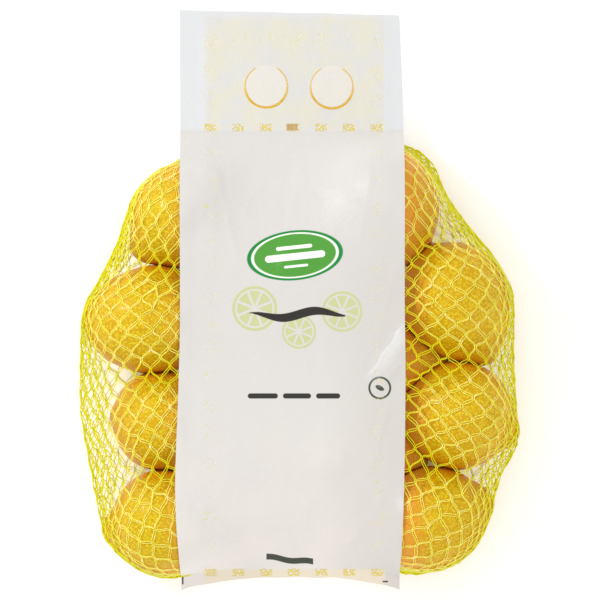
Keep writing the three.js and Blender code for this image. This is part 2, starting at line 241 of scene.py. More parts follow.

# %% [markdown]
# ## Making the lemons
# A UV sphere is a good start, because its poles become the tip and the stem end and its map
# already says how far along the fruit a point is. Every vertex then moves out to the lemon's
# own distance, with a few slow waves and half a furrow round the nipple, so that no lemon is
# perfectly round. Where two lemons press on each other both are dented, and they still overlap
# by a hair, so that no light slips through where they touch. A dent runs towards the lemon's own
# middle and not straight away from its neighbour. So it falls short where the tip of a middle
# lemon is pushed slantwise into a nook, and there up to 3 mm of overlap is left deep down.
# The peel's finish has to know where the fruit is in shade, so each vertex carries four numbers:
# nook and touch, for how near other lemons and the film are, which set painted shade on the peel;
# glow, for painted light that comes back out of a nook beside the film; and tone, for how ripe
# the lemon is, which for lemon_right_1 also holds painted shade.

# %% Lemon meshes
RINGS = 72
SEGMENTS = 108
SOFT_LUMPS = 0.64
FURROW = (0.55, 0.44, 0.13)       # depth in mm, then angle from the tip and width in radians
OVERLAP = 0.1             # the dents are meant to leave touching lemons this far in each other
GIVES = (0.5, 0.3)        # a lemon's share of a dent, and how much more a middle one takes
LUMP_SINK = 0.1           # lumps reach this far below the fruit's floor
NOOK_REACH = 4.5          # mm over which the shade of a neighbour fades
# mm over which the painted dark red shade where two lemons touch fades
CONTACT_SHADE_REACH = 0.9
FILM_SHADE = (0.45, 0.95)         # the shade beside the film, at the left and at the right
FILM_SHADE_REACH = (12, 18)
MIDDLE_GLOW = 0.3         # how much of the glow the lemons in the middle get


def deselect():
    if bpy.context.object and bpy.context.object.mode != "OBJECT":
        bpy.ops.object.mode_set(mode="OBJECT")
    bpy.ops.object.select_all(action="DESELECT")


def read_points(mesh):
    values = np.empty(len(mesh.vertices) * 3)
    mesh.vertices.foreach_get("co", values)
    return values.reshape(-1, 3)


def write_points(mesh, points):
    mesh.vertices.foreach_set("co", np.asarray(points, float).ravel())
    mesh.update()


def write_values(mesh, name, values):
    """Gives each vertex a number that a material can read by name."""
    mesh.attributes.new(name, "FLOAT", "POINT").data.foreach_set("value", values)


def lumps(direction, waves=7):
    """Slow uneven swellings. They depend on direction alone, so the sphere's seam stays closed."""
    total = np.zeros(len(direction))
    for _ in range(waves):
        way = dice.normal(size=3)
        way /= np.linalg.norm(way)
        total += np.cos(direction @ way * dice.uniform(2.5, 6) + dice.uniform(0, 6.3))
    return total / waves


def peel_values(lemon, points):
    """What the peel's finish has to know at each vertex."""
    clear = room_to_fruit(points, lemon)
    past = np.maximum(film_left(points[:, 1]) - points[:, 0],
                      points[:, 0] - film_right(points[:, 1]))
    right = int(lemon.middle[0] > 0)
    by_film = FILM_SHADE[right] * (1 - smooth_step(1, FILM_SHADE_REACH[right], past))
    glow = by_film**2 * smooth_step(0, 3, clear) * (MIDDLE_GLOW if lemon.in_middle else 1)
    ripeness_and_shade = RIPENESS_AND_SHADE.get(lemon.name, RIPENESS_IN_MIDDLE)
    # nook and touch carry painted shade, glow painted light; tone is ripeness, and for one lemon
    # painted shade
    return {"nook": np.maximum(np.exp(-clear / NOOK_REACH), by_film),
            "touch": np.exp(-clear / CONTACT_SHADE_REACH),
            "glow": glow,
            "tone": np.full(len(points), ripeness_and_shade)}


def make_lemon(lemon):
    deselect()
    bpy.ops.mesh.primitive_uv_sphere_add(segments=SEGMENTS, ring_count=RINGS, radius=1)
    piece = bpy.context.object
    piece.name = lemon.name
    way = unit(read_points(piece.data))
    out = lemon.radius(way[:, 2]) + SOFT_LUMPS * lumps(way)
    depth, angle, width = FURROW
    furrow = np.exp(-((np.arccos(np.clip(way[:, 2], -1, 1)) - angle) / width) ** 2)
    round_axis = np.arctan2(way[:, 1], way[:, 0]) + dice.uniform(0, 6.3)
    out -= depth * furrow * (0.5 + 0.5 * np.cos(round_axis))
    world = way[:, :1] * lemon.side + way[:, 1:2] * [0, 0, 1] + way[:, 2:] * lemon.axis
    points = lemon.middle + world * out[:, None]
    for other in lemons:
        if other is lemon:
            continue
        sunk = -OVERLAP - other.room(points)
        gives = GIVES[0] + GIVES[1] * (lemon.in_middle - other.in_middle)
        points -= world * np.maximum(sunk * gives, 0)[:, None]
    points[:, 2] = np.maximum(points[:, 2], FRUIT_FLOOR - LUMP_SINK)
    write_points(piece.data, points * MM)
    bpy.ops.object.shade_smooth()
    for name, values in peel_values(lemon, points).items():
        write_values(piece.data, name, values)
    return piece


lemon_pieces = [make_lemon(lemon) for lemon in lemons]
print(len(lemon_pieces), "lemons of", len(lemon_pieces[0].data.polygons), "faces")

# %% [markdown]
# ## How film and net find their shape
# Stretched film and net both lie as a taut sheet does: every point sits in the middle of its
# neighbours, unless something is in its way. So each sheet is a grid of points that is averaged
# again and again, pushed off the fruit and held where it is welded. A coarse grid settles fast;
# it is then split finer and settled a little more.

# %% Settling a sheet
ALONG_PULL = 1.6          # sheets pull harder along the pack than across it


def split_finer(grid):
    """The same sheet with a new row and column between each pair."""
    rows, columns, _ = grid.shape
    finer = np.empty((2 * rows - 1, 2 * columns - 1, 3))
    finer[::2, ::2] = grid
    finer[1::2, ::2] = (grid[1:] + grid[:-1]) / 2
    finer[:, 1::2] = (finer[:, 2::2] + finer[:, :-2:2]) / 2
    return finer


def settle(grid, hold, keep_off, first_rounds, *more_rounds):
    """Averages a sheet for some rounds, and again each time that it has been split finer."""
    for _ in range(first_rounds):
        wide = np.pad(grid, ((1, 1), (1, 1), (0, 0)), mode="edge")
        along = wide[:-2, 1:-1] + wide[2:, 1:-1]
        across = wide[1:-1, :-2] + wide[1:-1, 2:]
        grid = (ALONG_PULL * along + across) / (2 * ALONG_PULL + 2)
        keep_off(grid)
        hold(grid)
    return settle(split_finer(grid), hold, keep_off, *more_rounds) if more_rounds else grid


def sheet_normals(grid, upward=1):
    across = np.gradient(grid, axis=1)
    along = -np.gradient(grid, axis=0)
    return unit(np.cross(across, along) * upward)


print("a sheet of 25 by 61 points is split to", split_finer(np.zeros((61, 25, 3))).shape[:2])

# %% [markdown]
# ## The film strips over the fruit
# Between the two weld lines a strip is such a sheet. It can't stretch sideways, so only its
# height and its place along the pack are free. The back strip also stays above the floor.

# %% Settle both strips
FILM_COLUMNS = 25
FILM_ROWS = 61
HEADER_HALF_GAP = 0.55    # half the space between the strips where the flat net lies in it
CLOSED_HALF_GAP = 0.16    # and beyond the net, where they are welded to each other
FIRST_SWELL = {1: 28, -1: -25}    # a first guess at how far the front and the back bulge


def film_x(y, columns):
    """Places across the film, from its left edge to its right one."""
    return mix(film_left(y), film_right(y), np.linspace(0, 1, columns))


def half_gap(x, y):
    """Half the space between the strips where they are flat."""
    left, right = NET_EDGE_X
    inside = smooth_step(left - 6, left + 1, x) * (1 - smooth_step(right - 1.5, right + 4, x))
    inside = inside * (1 - smooth_step(NET_TOP_Y, NET_TOP_Y + 3, y))
    return mix(CLOSED_HALF_GAP, HEADER_HALF_GAP, inside)


def settle_strip(side):
    share = np.linspace(0, 1, FILM_ROWS)[:, None]
    x = film_x(0, FILM_COLUMNS)[None, :]
    y = mix(HEADER_WELD_Y, foot_weld(x), share)
    swell = np.minimum(1, 4 * np.sin(np.pi * share)) * FIRST_SWELL[side]
    grid = np.stack([x + 0 * y, y, seam_height(y) + swell], axis=-1)

    def hold(points):
        top, end = points[0], points[-1]
        top[:, 1] = HEADER_WELD_Y
        end[:, 1] = foot_weld(end[:, 0])
        points[..., 0] = film_x(points[:, :1, 1], points.shape[1])
        for row in (top, end):
            row[:, 2] = seam_height(row[:, 1]) + side * half_gap(row[:, 0], row[:, 1])

    def keep_off(points):
        push_off_fruit(points, FILM_RISE)
        points[..., 2] = np.maximum(points[..., 2], FILM_FLOOR)

    return settle(grid, hold, keep_off, 700, 200, 60)


strips = {"front": settle_strip(1), "back": settle_strip(-1)}
print("front strip over the fruit", strips["front"].shape, "highest",
      round(float(strips["front"][..., 2].max()), 1), "mm")


def film_height(name, x, y):
    """Height of a settled strip beside each x, y."""
    grid = strips[name]
    columns = grid.shape[1]
    place = (x - film_left(y)) / (film_right(y) - film_left(y)) * (columns - 1)
    place = np.clip(place, 0, columns - 1.001)
    left = place.astype(int)
    heights = np.empty((columns, len(x)))
    for column in range(columns):
        line = grid[::-1, column]
        heights[column] = np.interp(y, line[:, 1], line[:, 2])
    pick = np.arange(len(x))
    return mix(heights[left, pick], heights[left + 1, pick], place - left)


# %% [markdown]
# ## Header, foot and creases
# Above the header weld and below the foot weld both strips lie flat against the net, so their
# rows follow the seam height. The finished strip gets its creases as small moves along its own
# normal: soft lengthwise ripples everywhere, a few long creases, and on the front free edges
# that lift a little off the net.

# %% Whole strips with creases
HEADER_ROWS = 70
FOOT_ROWS = 8
LATTICE = 400             # soft noise has this many random values each way
RIPPLES = ((0.22, 9, 26), (0.14, 4.2, 11))    # height, then size across and along the pack
SLANTED_RIPPLES = (0.07, 2.6, 5)
DEEPEST_DENT = 0.12
EDGE_LIFT = 1.2

# start x, y, end x, y, height, half width
CREASES = [(52, -12, 33, -40, 1.1, 1.3), (52, -30, 40, -46, 0.7, 1.1), (-40, 60, -30, 14, 0.4, 1.6),
           (36, 66, 30, 22, 0.5, 1.7), (-58, 78, -20, 88, 0.3, 1.4), (50, 76, 18, 86, 0.35, 1.5),
           (49, 20, 42, -10, 0.5, 1.2), (-54, 8, -40, -6, 0.4, 1.2), (45, -52, 36, -84, 0.45, 1.4),
           (-6, 78, -14, 40, 0.25, 2.0), (44, -96, 22, -126, 0.5, 1.8),
           (-52, -98, -24, -128, 0.45, 2.0), (4, -100, 2, -131, 0.3, 2.2),
           (-58, -20, -44, -52, 0.4, 1.5), (-50, 118, -30, 136, 0.3, 1.3),
           (46, 100, 30, 120, 0.3, 1.4), (-56, 104, -40, 94, 0.3, 1.2)]


def soft_noise(x, y, across, along, seed):
    """Smooth noise from random values on a lattice of cells that are across by along mm."""
    values = np.random.default_rng(seed).uniform(-1, 1, (LATTICE, LATTICE))
    u = x / across + LATTICE // 2
    v = y / along + LATTICE // 2
    i, j = np.floor(u).astype(int), np.floor(v).astype(int)
    fu, fv = u - i, v - j
    fu = fu * fu * (3 - 2 * fu)
    fv = fv * fv * (3 - 2 * fv)
    low = mix(values[i, j], values[i + 1, j], fu)
    high = mix(values[i, j + 1], values[i + 1, j + 1], fu)
    return mix(low, high, fv)


def crease_relief(x, y, seed):
    """Ripples and creases as a height in mm."""
    relief = np.zeros(np.shape(x))
    for layer, (height, across, along) in enumerate(RIPPLES):
        relief += height * soft_noise(x, y, across, along, seed + layer)
    height, across, along = SLANTED_RIPPLES
    relief += height * soft_noise(x + y, y - x, across, along, seed + 2)
    for x0, y0, x1, y1, height, width in CREASES:
        run = np.array([x1 - x0, y1 - y0])
        length = np.hypot(*run)
        run = run / length
        s = (x - x0) * run[0] + (y - y0) * run[1]
        off = (x - x0) * run[1] - (y - y0) * run[0]
        off = off + 0.8 * soft_noise(x, y, 12, 12, seed + 5)
        ends = smooth_step(-4, 6, s) * (1 - smooth_step(length - 10, length + 4, s))
        relief += height * ends * np.exp(-np.abs(off / width) ** 1.4)
    return relief


def crease_share(y, side):
    """How much of the creases is left: less in header and foot, and little at the welds."""
    free = smooth_step(HEADER_WELD_Y + 4, HEADER_WELD_Y - 8, y)
    header = smooth_step(HEADER_WELD_Y + 2, HEADER_WELD_Y + 10, y)
    share = np.where(y > HEADER_WELD_Y, 0.25 + 0.45 * header, 0.25 + 0.75 * free)
    share = share * mix(0.3, 1, smooth_step(FOOT_WELD_Y - 4, FOOT_WELD_Y + 6, y))
    return share if side > 0 else share * 0.5


def edge_lift(x, y, seed):
    """The free edges beyond the glue lines ripple off the net."""
    left = 1 - smooth_step(0, 11, x - film_left(y))
    right = 1 - smooth_step(0, 11, film_right(y) - x)
    body = 1 - smooth_step(HEADER_WELD_Y - 14, HEADER_WELD_Y, y)
    body = body * smooth_step(FOOT_WELD_Y - 2, FOOT_WELD_Y + 8, y)
    ripple = 0.75 + 0.55 * soft_noise(np.sign(x) * 30, y, 9, 13, seed)
    return EDGE_LIFT * (left**1.6 + right**1.6) * ripple * body


def flat_row(x, y, side):
    return np.stack([x, y, seam_height(y) + side * half_gap(x, y)], axis=-1)


def whole_strip(name, side, seed):
    body = strips[name]
    columns = body.shape[1]
    top = mix(*HEADER_TOP_Y, np.linspace(0, 1, columns))
    top = top + 0.25 * soft_noise(film_x(140, columns), top * 0, 14, 9, 5)
    header = []
    for share in np.linspace(0, 1, HEADER_ROWS, endpoint=False):
        y = mix(top, HEADER_WELD_Y, share)
        header.append(flat_row(film_x(y, columns), y, side))
    x = body[-1, :, 0]
    weld = body[-1, :, 1]
    flap = mix(*FOOT_FLAP, foot_corner(x)) + 0.5 * soft_noise(x, x * 0, 9, 9, 8)
    foot = [flat_row(x, weld - flap * share, side)
            for share in np.linspace(0, 1, FOOT_ROWS + 1)[1:]]
    grid = np.concatenate([np.array(header), body, np.array(foot)])
    x, y = grid[..., 0], grid[..., 1]
    move = np.maximum(crease_relief(x, y, seed) * crease_share(y, side), -DEEPEST_DENT)
    lift = edge_lift(x, y, seed + 9) if side > 0 else 0
    grid = grid + sheet_normals(grid, side) * move[..., None]
    grid[..., 2] = np.maximum(grid[..., 2] + lift, FILM_FLOOR)
    return grid


strip_grids = {"front": whole_strip("front", 1, 31), "back": whole_strip("back", -1, 77)}
print("front strip", strip_grids["front"].shape)

# %% [markdown]
# ## Film as a mesh
# A grid primitive has its faces in the right order already, so the strip is a grid whose points
# are laid on the settled sheet. Solidify gives it a wall. The finger flaps are cut with
# a C-shaped cutter: a small upright plane, spun most of the way round.

# %% Film strips
FLAP_CENTRES = ((-16.5, 107), (16.4, 106.6))
FLAP_RADIUS = 10.6
FLAP_SLOT = 0.45
FLAP_HINGE = math.radians(62)     # this much of each circle is left uncut, at its top
CUTTER_MIDDLE = 8
CUTTER_HEIGHT = 50


def flap_cutter(x, y):
    """The slot round one flap, as a closed solid."""
    deselect()
    bpy.ops.mesh.primitive_plane_add(size=1)
    cutter = bpy.context.object
    start = math.pi / 2 + FLAP_HINGE / 2
    across = np.array([math.cos(start), math.sin(start), 0])
    flat = read_points(cutter.data)
    place = np.array([x, y, CUTTER_MIDDLE]) + across * FLAP_RADIUS
    place = place + flat[:, :1] * across * FLAP_SLOT
    place = place + flat[:, 1:2] * np.array([0, 0, CUTTER_HEIGHT])
    write_points(cutter.data, place * MM)
    bpy.ops.object.mode_set(mode="EDIT")
    bpy.ops.mesh.select_all(action="SELECT")
    bpy.ops.mesh.spin(steps=44, angle=FLAP_HINGE - 2 * math.pi, center=(x * MM, y * MM, 0),
                      axis=(0, 0, 1))
    bpy.ops.mesh.select_all(action="SELECT")
    bpy.ops.mesh.normals_make_consistent(inside=False)
    bpy.ops.object.mode_set(mode="OBJECT")
    return cutter


def make_film(name, grid):
    """A settled sheet as a closed film with its flaps cut."""
    rows, columns, _ = grid.shape
    deselect()
    bpy.ops.mesh.primitive_grid_add(x_subdivisions=columns - 1, y_subdivisions=rows - 1, size=2)
    film = bpy.context.object
    film.name = name
    write_points(film.data, grid[::-1].reshape(-1, 3) * MM)
    wall = film.modifiers.new("wall", "SOLIDIFY")
    wall.thickness = FILM_THICKNESS * MM
    wall.offset = 0
    bpy.ops.object.modifier_apply(modifier=wall.name)
    for centre in FLAP_CENTRES:
        cutter = flap_cutter(*centre)
        deselect()
        film.select_set(True)
        bpy.context.view_layer.objects.active = film
        slot = film.modifiers.new("slot", "BOOLEAN")
        slot.operation = "DIFFERENCE"
        slot.solver = "EXACT"
        slot.object = cutter
        bpy.ops.object.modifier_apply(modifier=slot.name)
        bpy.data.objects.remove(cutter)
    bpy.ops.object.shade_smooth_by_angle(angle=math.radians(40))
    return film


film_front = make_film("printed_film", strip_grids["front"])
film_back = make_film("plain_film", strip_grids["back"])
print("film faces", len(film_front.data.polygons), len(film_back.data.polygons))

# %% [markdown]
# ## The net's sheet
# The net is a tube that is flat inside the header and the foot and wraps the fruit between
# them. Only its two sides show, so each side is one sheet that runs from a glue line under the
# front film, round the silhouette, to the same line under the back film. Its middle column is
# held on the silhouette, and its two borders on the films.

# %% Settle both sides of the net
SIDE_COLUMNS = 21
SIDE_ROWS = 43
GLUE_LINE = {-1: (-21, -47), 1: (19, 39.5)}   # x at the header weld and beside the fruit
GLUE_DEPTH = 0.55         # from the film's middle to the net's


def glue_x(side, y):
    header, body = GLUE_LINE[side]
    return mix(body, header, smooth_step(30, HEADER_WELD_Y, y))


def settle_side(side):
    fold_line = smooth_line(FOLD_LEFT if side < 0 else FOLD_RIGHT)

    def borders(rows):
        """The fold on the silhouette, and the glued borders in front and behind."""
        share = np.linspace(0, 1, rows)
        y = mix(HEADER_WELD_Y, FOOT_WELD_Y, share)
        x = glue_x(side, y)
        front = np.stack([x, y, film_height("front", x, y) - GLUE_DEPTH], axis=-1)
        back = np.stack([x, y, film_height("back", x, y) + GLUE_DEPTH], axis=-1)
        return along_line(fold_line, share), front, back

    def hold(points):
        fold, front, back = borders(len(points))
        middle = points.shape[1] // 2
        points[:, 0] = front
        points[:, -1] = back
        points[:, middle, :2] = fold
        points[:, middle, 2] = seam_height(fold[:, 1])
        share = np.linspace(0, 1, points.shape[1])[:, None]
        for end in (0, -1):
            flat = mix(front[end], back[end], share)
            flat[:, :2] = mix(fold[end], front[end, :2], np.abs(2 * share - 1))
            points[end] = flat

    def keep_off(points):
        push_off_fruit(points, NET_RISE)
        points[..., 2] = np.maximum(points[..., 2], NET_FLOOR)

    fold, front, back = borders(SIDE_ROWS)
    turn = np.linspace(0, np.pi, SIDE_COLUMNS)[None, :, None]
    fold = np.column_stack([fold, seam_height(fold[:, 1])])[:, None]
    edge = np.where(np.cos(turn) > 0, front[:, None], back[:, None])
    grid = mix(edge, fold, np.sin(turn))
    grid[..., 2] = fold[..., 2] + (edge[..., 2] - fold[..., 2]) * np.abs(np.cos(turn[..., 0]))
    return settle(grid, hold, keep_off, 500, 200, 80)


net_sheets = {-1: settle_side(-1), 1: settle_side(1)}
print("net sheet", net_sheets[-1].shape)

# %% [markdown]
# ## Knitting
# The net is knitted from chains of loops that run down the pack. Each chain leans to its left
# neighbour and then to its right one, and is joined to it there, which opens the cells between
# them. So every joint belongs to two chains: its place is drawn once, a little off the even
# lattice, and both chains pass through it. A chain is two fine strands that spread between
# joints and cross each other in them. Near the silhouette the net is pulled straight along
# the edge, so the chains lean less there.

# %% Paths of the chains
STRAND_SIDES = 5
STEPS_PER_COURSE = 6
JOINT_SHARE = 0.17        # how much of a course each half of a joint takes


def knit_paths(chains, courses, uneven, touch, lean_share=None, first=0):
    """Places of the chains on the sheet: chain numbers across, course numbers along."""
    joint_u = dice.normal(0, uneven, (chains + 1, courses + 1))
    joint_v = dice.normal(0, uneven * 1.1, (chains + 1, courses + 1))
    joint_v[:, (0, -1)] = 0
    course = np.arange(courses + 1)
    u = np.empty((chains, courses + 1))
    v = np.empty((chains, courses + 1))
    for chain in range(chains):
        lean = np.where((chain + course + first) % 2 == 0, 1, -1)
        joint = chain + (lean + 1) // 2
        reach = 1 if lean_share is None else lean_share(chain)
        u[chain] = chain + (lean * (0.5 - touch) + joint_u[joint, course]) * reach
        v[chain] = course + joint_v[joint, course]
    step = np.linspace(0, 1, STEPS_PER_COURSE, endpoint=False)
    swing = np.clip((step - JOINT_SHARE) / (1 - 2 * JOINT_SHARE), 0, 1)
    swing = mix(swing, swing * swing * (3 - 2 * swing), 0.7)
    fine_u = mix(u[:, :-1, None], u[:, 1:, None], swing)
    fine_v = mix(v[:, :-1, None], v[:, 1:, None], step)
    fine_u = np.hstack([fine_u.reshape(chains, -1), u[:, -1:]])
    fine_v = np.hstack([fine_v.reshape(chains, -1), v[:, -1:]])
    return fine_u, fine_v


def read_sheet(grid, row, column):
    """Places between the points of a sheet."""
    rows, columns, _ = grid.shape
    row = np.clip(row, 0, rows - 1.001)
    column = np.clip(column, 0, columns - 1.001)
    i, j = row.astype(int), column.astype(int)
    a, b = (row - i)[..., None], (column - j)[..., None]
    upper = mix(grid[i, j], grid[i, j + 1], b)
    lower = mix(grid[i + 1, j], grid[i + 1, j + 1], b)
    return mix(upper, lower, a)


def tubes(paths, normals, radius):
    """Closed tubes round many paths at once: corners, side faces, end faces, lengths run."""
    count, steps, _ = paths.shape
    ahead = unit(np.gradient(paths, axis=1))
    beside = unit(np.cross(ahead, normals))
    over = np.cross(beside, ahead)
    angle = np.linspace(0, 2 * np.pi, STRAND_SIDES, endpoint=False)
    ring = np.cos(angle)[:, None] * beside[:, :, None] + np.sin(angle)[:, None] * over[:, :, None]
    corners = paths[:, :, None] + np.asarray(radius)[..., None, None] * ring
    number = np.arange(count * steps * STRAND_SIDES).reshape(count, steps, STRAND_SIDES)
    here, after = number[:, :-1], number[:, 1:]
    quads = np.stack([here, after, np.roll(after, -1, axis=2), np.roll(here, -1, axis=2)], axis=-1)
    starts = number[:, 0]
    ends = number[:, -1, ::-1]
    length = np.linalg.norm(np.diff(paths, axis=1), axis=2).cumsum(axis=1)
    length = np.pad(length, ((0, 0), (1, 0)))
    return corners.reshape(-1, 3), quads.reshape(-1, 4), np.vstack([starts, ends]), length


def make_threads(name, paths, normals, radius, drawn=None):
    """Many strands as one mesh, with each one's length and tone as numbers on its vertices."""
    corners, quads, caps, length = tubes(paths, normals, radius)
    mesh = bpy.data.meshes.new(name)
    mesh.from_pydata((corners * MM).tolist(), [], quads.tolist() + caps.tolist())
    mesh.update()
    write_values(mesh, "run", np.repeat(length.ravel(), STRAND_SIDES))
    tones = dice.uniform(0, 1, len(paths))
    write_values(mesh, "tone", np.repeat(tones, len(corners) // len(paths)))
    if drawn is not None:
        write_values(mesh, "drawn", np.repeat(drawn.ravel(), STRAND_SIDES))
    piece = bpy.data.objects.new(name, mesh)
    bpy.context.scene.collection.objects.link(piece)
    mesh.shade_smooth()
    return piece


print("strands have", STRAND_SIDES, "sides and", STEPS_PER_COURSE, "steps to a course")

# %% [markdown]
# ## Even legs
# The legs of the cells are all of one length. Where the chains are drawn apart, the courses
# come closer together, and where the net is slack or gathered the cells grow long and narrow.
# So each course's place along the sheet comes from adding up how many courses fit there.

# %% Knit both sides
CHAINS = 40
UNEVEN = 0.13             # how far joints stray, and how far joined chains stay apart,
TOUCH = 0.09              # both as shares of a chain's width
MIDDLE_CHAIN = (CHAINS - 1) / 2
FOLD_SHIFT = 0.75         # the fold runs between two chains, nearer to one of them
LEG = 6.8                 # mm from joint to joint along a chain
SHORTEST_COURSE = 0.4     # of a leg, where chains are drawn far apart
COURSE_STEPS = 4          # rows are looked up this finely
STRAND_APART = (0.21, 0.44)       # half the space between a chain's strands, at a joint and between
SLACK_APART = 0.55        # how much more they spread where the net is slack
SLACK_TO_TAUT = (2.6, 4.6)        # mm from chain to chain
DRAWN_THIN = 0.66         # strands shrink to this where the net is drawn over the fruit
GATHER = (0.35, 0.62, 1.28)   # chain spacing at the fold, near it and over the fruit
BEHIND_SHIFT = 0.6        # courses by which the back is knitted out of step with the front
UNDER_FILM = 0.42         # from a film's middle to the strands that it covers


def chain_place(u):
    """Where a chain runs across the sheet, from 0 to 1: closer together near the fold."""
    at = np.linspace(0, 1, 201)
    spacing = mix(GATHER[0], GATHER[1], smooth_step(0, 0.12, at))
    spacing = mix(spacing, GATHER[2], smooth_step(0.3, 0.52, at))
    place = np.cumsum(spacing) - spacing[0]
    off = (u + FOLD_SHIFT) / CHAINS * 2 - 1
    return (np.sign(off) * np.interp(np.abs(off), at, place / place[-1]) + 1) / 2


def course_rows(grid):
    """For each column of the sheet, the row where each course lies, in fine steps."""
    rows, columns, _ = grid.shape
    places = chain_place(np.arange(-0.5, CHAINS)) * (columns - 1)
    chain_width = np.interp(np.arange(columns), (places[1:] + places[:-1]) / 2, np.diff(places))
    apart = np.linalg.norm(np.gradient(grid, axis=1), axis=2) * chain_width
    course = np.sqrt(np.maximum(LEG**2 - apart**2, (SHORTEST_COURSE * LEG) ** 2))
    run = np.linalg.norm(np.diff(grid, axis=0), axis=2)
    count = np.cumsum(run / (course[1:] + course[:-1]) * 2, axis=0)
    count = np.vstack([np.zeros(columns), count])
    courses = int(round(count[-1].mean() / 2)) * 2
    count *= courses / count[-1]
    for _ in range(12):
        wide = np.pad(count, ((0, 0), (1, 1)), mode="edge")
        count = (wide[:, :-2] + 2 * count + wide[:, 2:]) / 4
    count = mix(count.mean(axis=1, keepdims=True), count, 0.25)
    fine = np.linspace(0, courses, courses * COURSE_STEPS + 1)
    table = np.stack([np.interp(fine, count[:, k], np.arange(rows)) for k in range(columns)],
                     axis=1)
    return courses, table


def lean_share(chain):
    """Chains next to the fold lean little."""
    return mix(0.45, 1, smooth_step(0, 3, abs(chain - MIDDLE_CHAIN)))


def lay_strands(path, normal, courses, slack):
    """Two strands for each chain, crossing at every joint."""
    chains, steps, _ = path.shape
    ahead = unit(np.gradient(path, axis=1))
    beside = unit(np.cross(ahead, normal))
    phase = np.arange(steps) / STEPS_PER_COURSE * np.pi
    swell = dice.uniform(0.5, 1.5, (chains, courses + 1))
    swell = np.repeat(swell, STEPS_PER_COURSE, axis=1)[:, :steps]
    low, high = STRAND_APART
    half = (low + (high + slack - low) * np.abs(np.sin(phase))) * swell
    turn = np.where(np.arange(steps) // STEPS_PER_COURSE % 2 == 0, 1, -1)
    half = half * turn * np.clip(np.abs(np.sin(phase)) * 3, 0, 1)
    rise = 0.5 * THREAD_RADIUS * np.cos(phase)
    one = path + beside * half[..., None] + normal * rise[None, :, None]
    two = path - beside * half[..., None] - normal * rise[None, :, None]
    return np.concatenate([one, two])


def keep_under_film(strands):
    """Holds strands in front under the front film, and those behind over the back film."""
    flat = strands.reshape(-1, 3)
    under = (flat[:, 0] > film_left(flat[:, 1]) - 1) & (flat[:, 0] < film_right(flat[:, 1]) + 1)
    for name, sign, nearer in (("front", -1, np.minimum), ("back", 1, np.maximum)):
        in_front = flat[:, 2] > seam_height(flat[:, 1])
        mine = under & (in_front == (sign < 0))
        limit = film_height(name, flat[mine, 0], flat[mine, 1]) + sign * UNDER_FILM
        flat[mine, 2] = nearer(flat[mine, 2], limit)


def knit_side(side):
    grid = net_sheets[side]
    last_column = grid.shape[1] - 1
    outward = sheet_normals(grid, -side)
    courses, table = course_rows(grid)
    u, v = knit_paths(CHAINS, courses, UNEVEN, TOUCH, lean_share)
    column = chain_place(u) * last_column
    behind = smooth_step(-3, 3, u - MIDDLE_CHAIN) - 0.5
    course_at = (v + BEHIND_SHIFT * behind) * COURSE_STEPS
    row = read_sheet(table[..., None], course_at, column)[..., 0]
    path = read_sheet(grid, row, column)
    normal = unit(read_sheet(outward, row, column))
    apart = np.linalg.norm(read_sheet(np.gradient(grid, axis=1), row, column), axis=2)
    apart *= (chain_place(u + 0.5) - chain_place(u - 0.5)) * last_column
    slack = SLACK_APART * (1 - smooth_step(*SLACK_TO_TAUT, apart))
    off_fold = smooth_step(3, 9, np.abs(u - MIDDLE_CHAIN))
    on_fruit = 1 - smooth_step(1.5, 6, room_to_fruit(path))
    strands = lay_strands(path, normal, courses, slack)
    push_off_fruit(strands, THREAD_RADIUS + 0.08)
    keep_under_film(strands)
    normals = np.concatenate([normal] * 2)
    # where the net lies drawn over the fruit; the yarn's finish paints sheen and glints there
    drawn = np.concatenate([off_fold * on_fruit] * 2)
    thin = np.concatenate([off_fold * (0.5 + 0.5 * on_fruit)] * 2)
    radius = THREAD_RADIUS * mix(1, DRAWN_THIN, thin)
    in_front = np.arange(len(strands)) % CHAINS < CHAINS // 2
    word = "left" if side < 0 else "right"
    print(word, "side:", courses, "courses of", CHAINS, "chains")
    return [make_threads(f"net_{word}_{place}", strands[mine], normals[mine], radius[mine],
                         drawn[mine])
            for place, mine in (("front", in_front), ("back", ~in_front))]


net_pieces = knit_side(-1) + knit_side(1)
for piece in net_pieces:
    print(piece.name, len(piece.data.polygons), "faces")

# %% [markdown]
# ## The net in the header
# Inside the header the same chains lie close together in two flat layers. They show through
# the film only as a faint cream tint, so this part has one strand to a chain.

# %% Knit the header
HEADER_CHAINS = 36
HEADER_COURSES = 15
HEADER_UNEVEN = 0.16
HEADER_TOUCH = 0.06
HEADER_LAYER = 0.18       # each layer's height off the middle between the strips
HEADER_STRAND = 0.16
SIDE_MARGIN = 0.3


def knit_header():
    paths = []
    for side in (1, -1):
        u, v = knit_paths(HEADER_CHAINS, HEADER_COURSES, HEADER_UNEVEN, HEADER_TOUCH, first=side)
        x = mix(*NET_EDGE_X, (u + 0.5) / HEADER_CHAINS)
        x = np.clip(x, NET_EDGE_X[0] + SIDE_MARGIN, NET_EDGE_X[1] - SIDE_MARGIN)
        y = mix(NET_TOP_Y, HEADER_WELD_Y, v / HEADER_COURSES)
        paths.append(np.stack([x, y, seam_height(y) + side * HEADER_LAYER], axis=-1))
    paths = np.concatenate(paths)
    for x, y in FLAP_CENTRES:
        near = np.hypot(paths[..., 0] - x, paths[..., 1] - y)
        print("strands over a flap", int((near.min(axis=1) < FLAP_RADIUS).sum()))
    return make_threads("net_header", paths, np.broadcast_to([0.0, 0.0, 1.0], paths.shape),
                        HEADER_STRAND)


net_header = knit_header()

# %% [markdown]
# ## Melted rims of the finger flaps
# The die that cuts the flaps is hot, and it melts the yellow strands into a thin gold rim
# along the cut. It is thicker at the bottom of each flap. A rim is two small tubes along the
# same C as the cutter, and the outer one sags away from the inner one at the bottom.

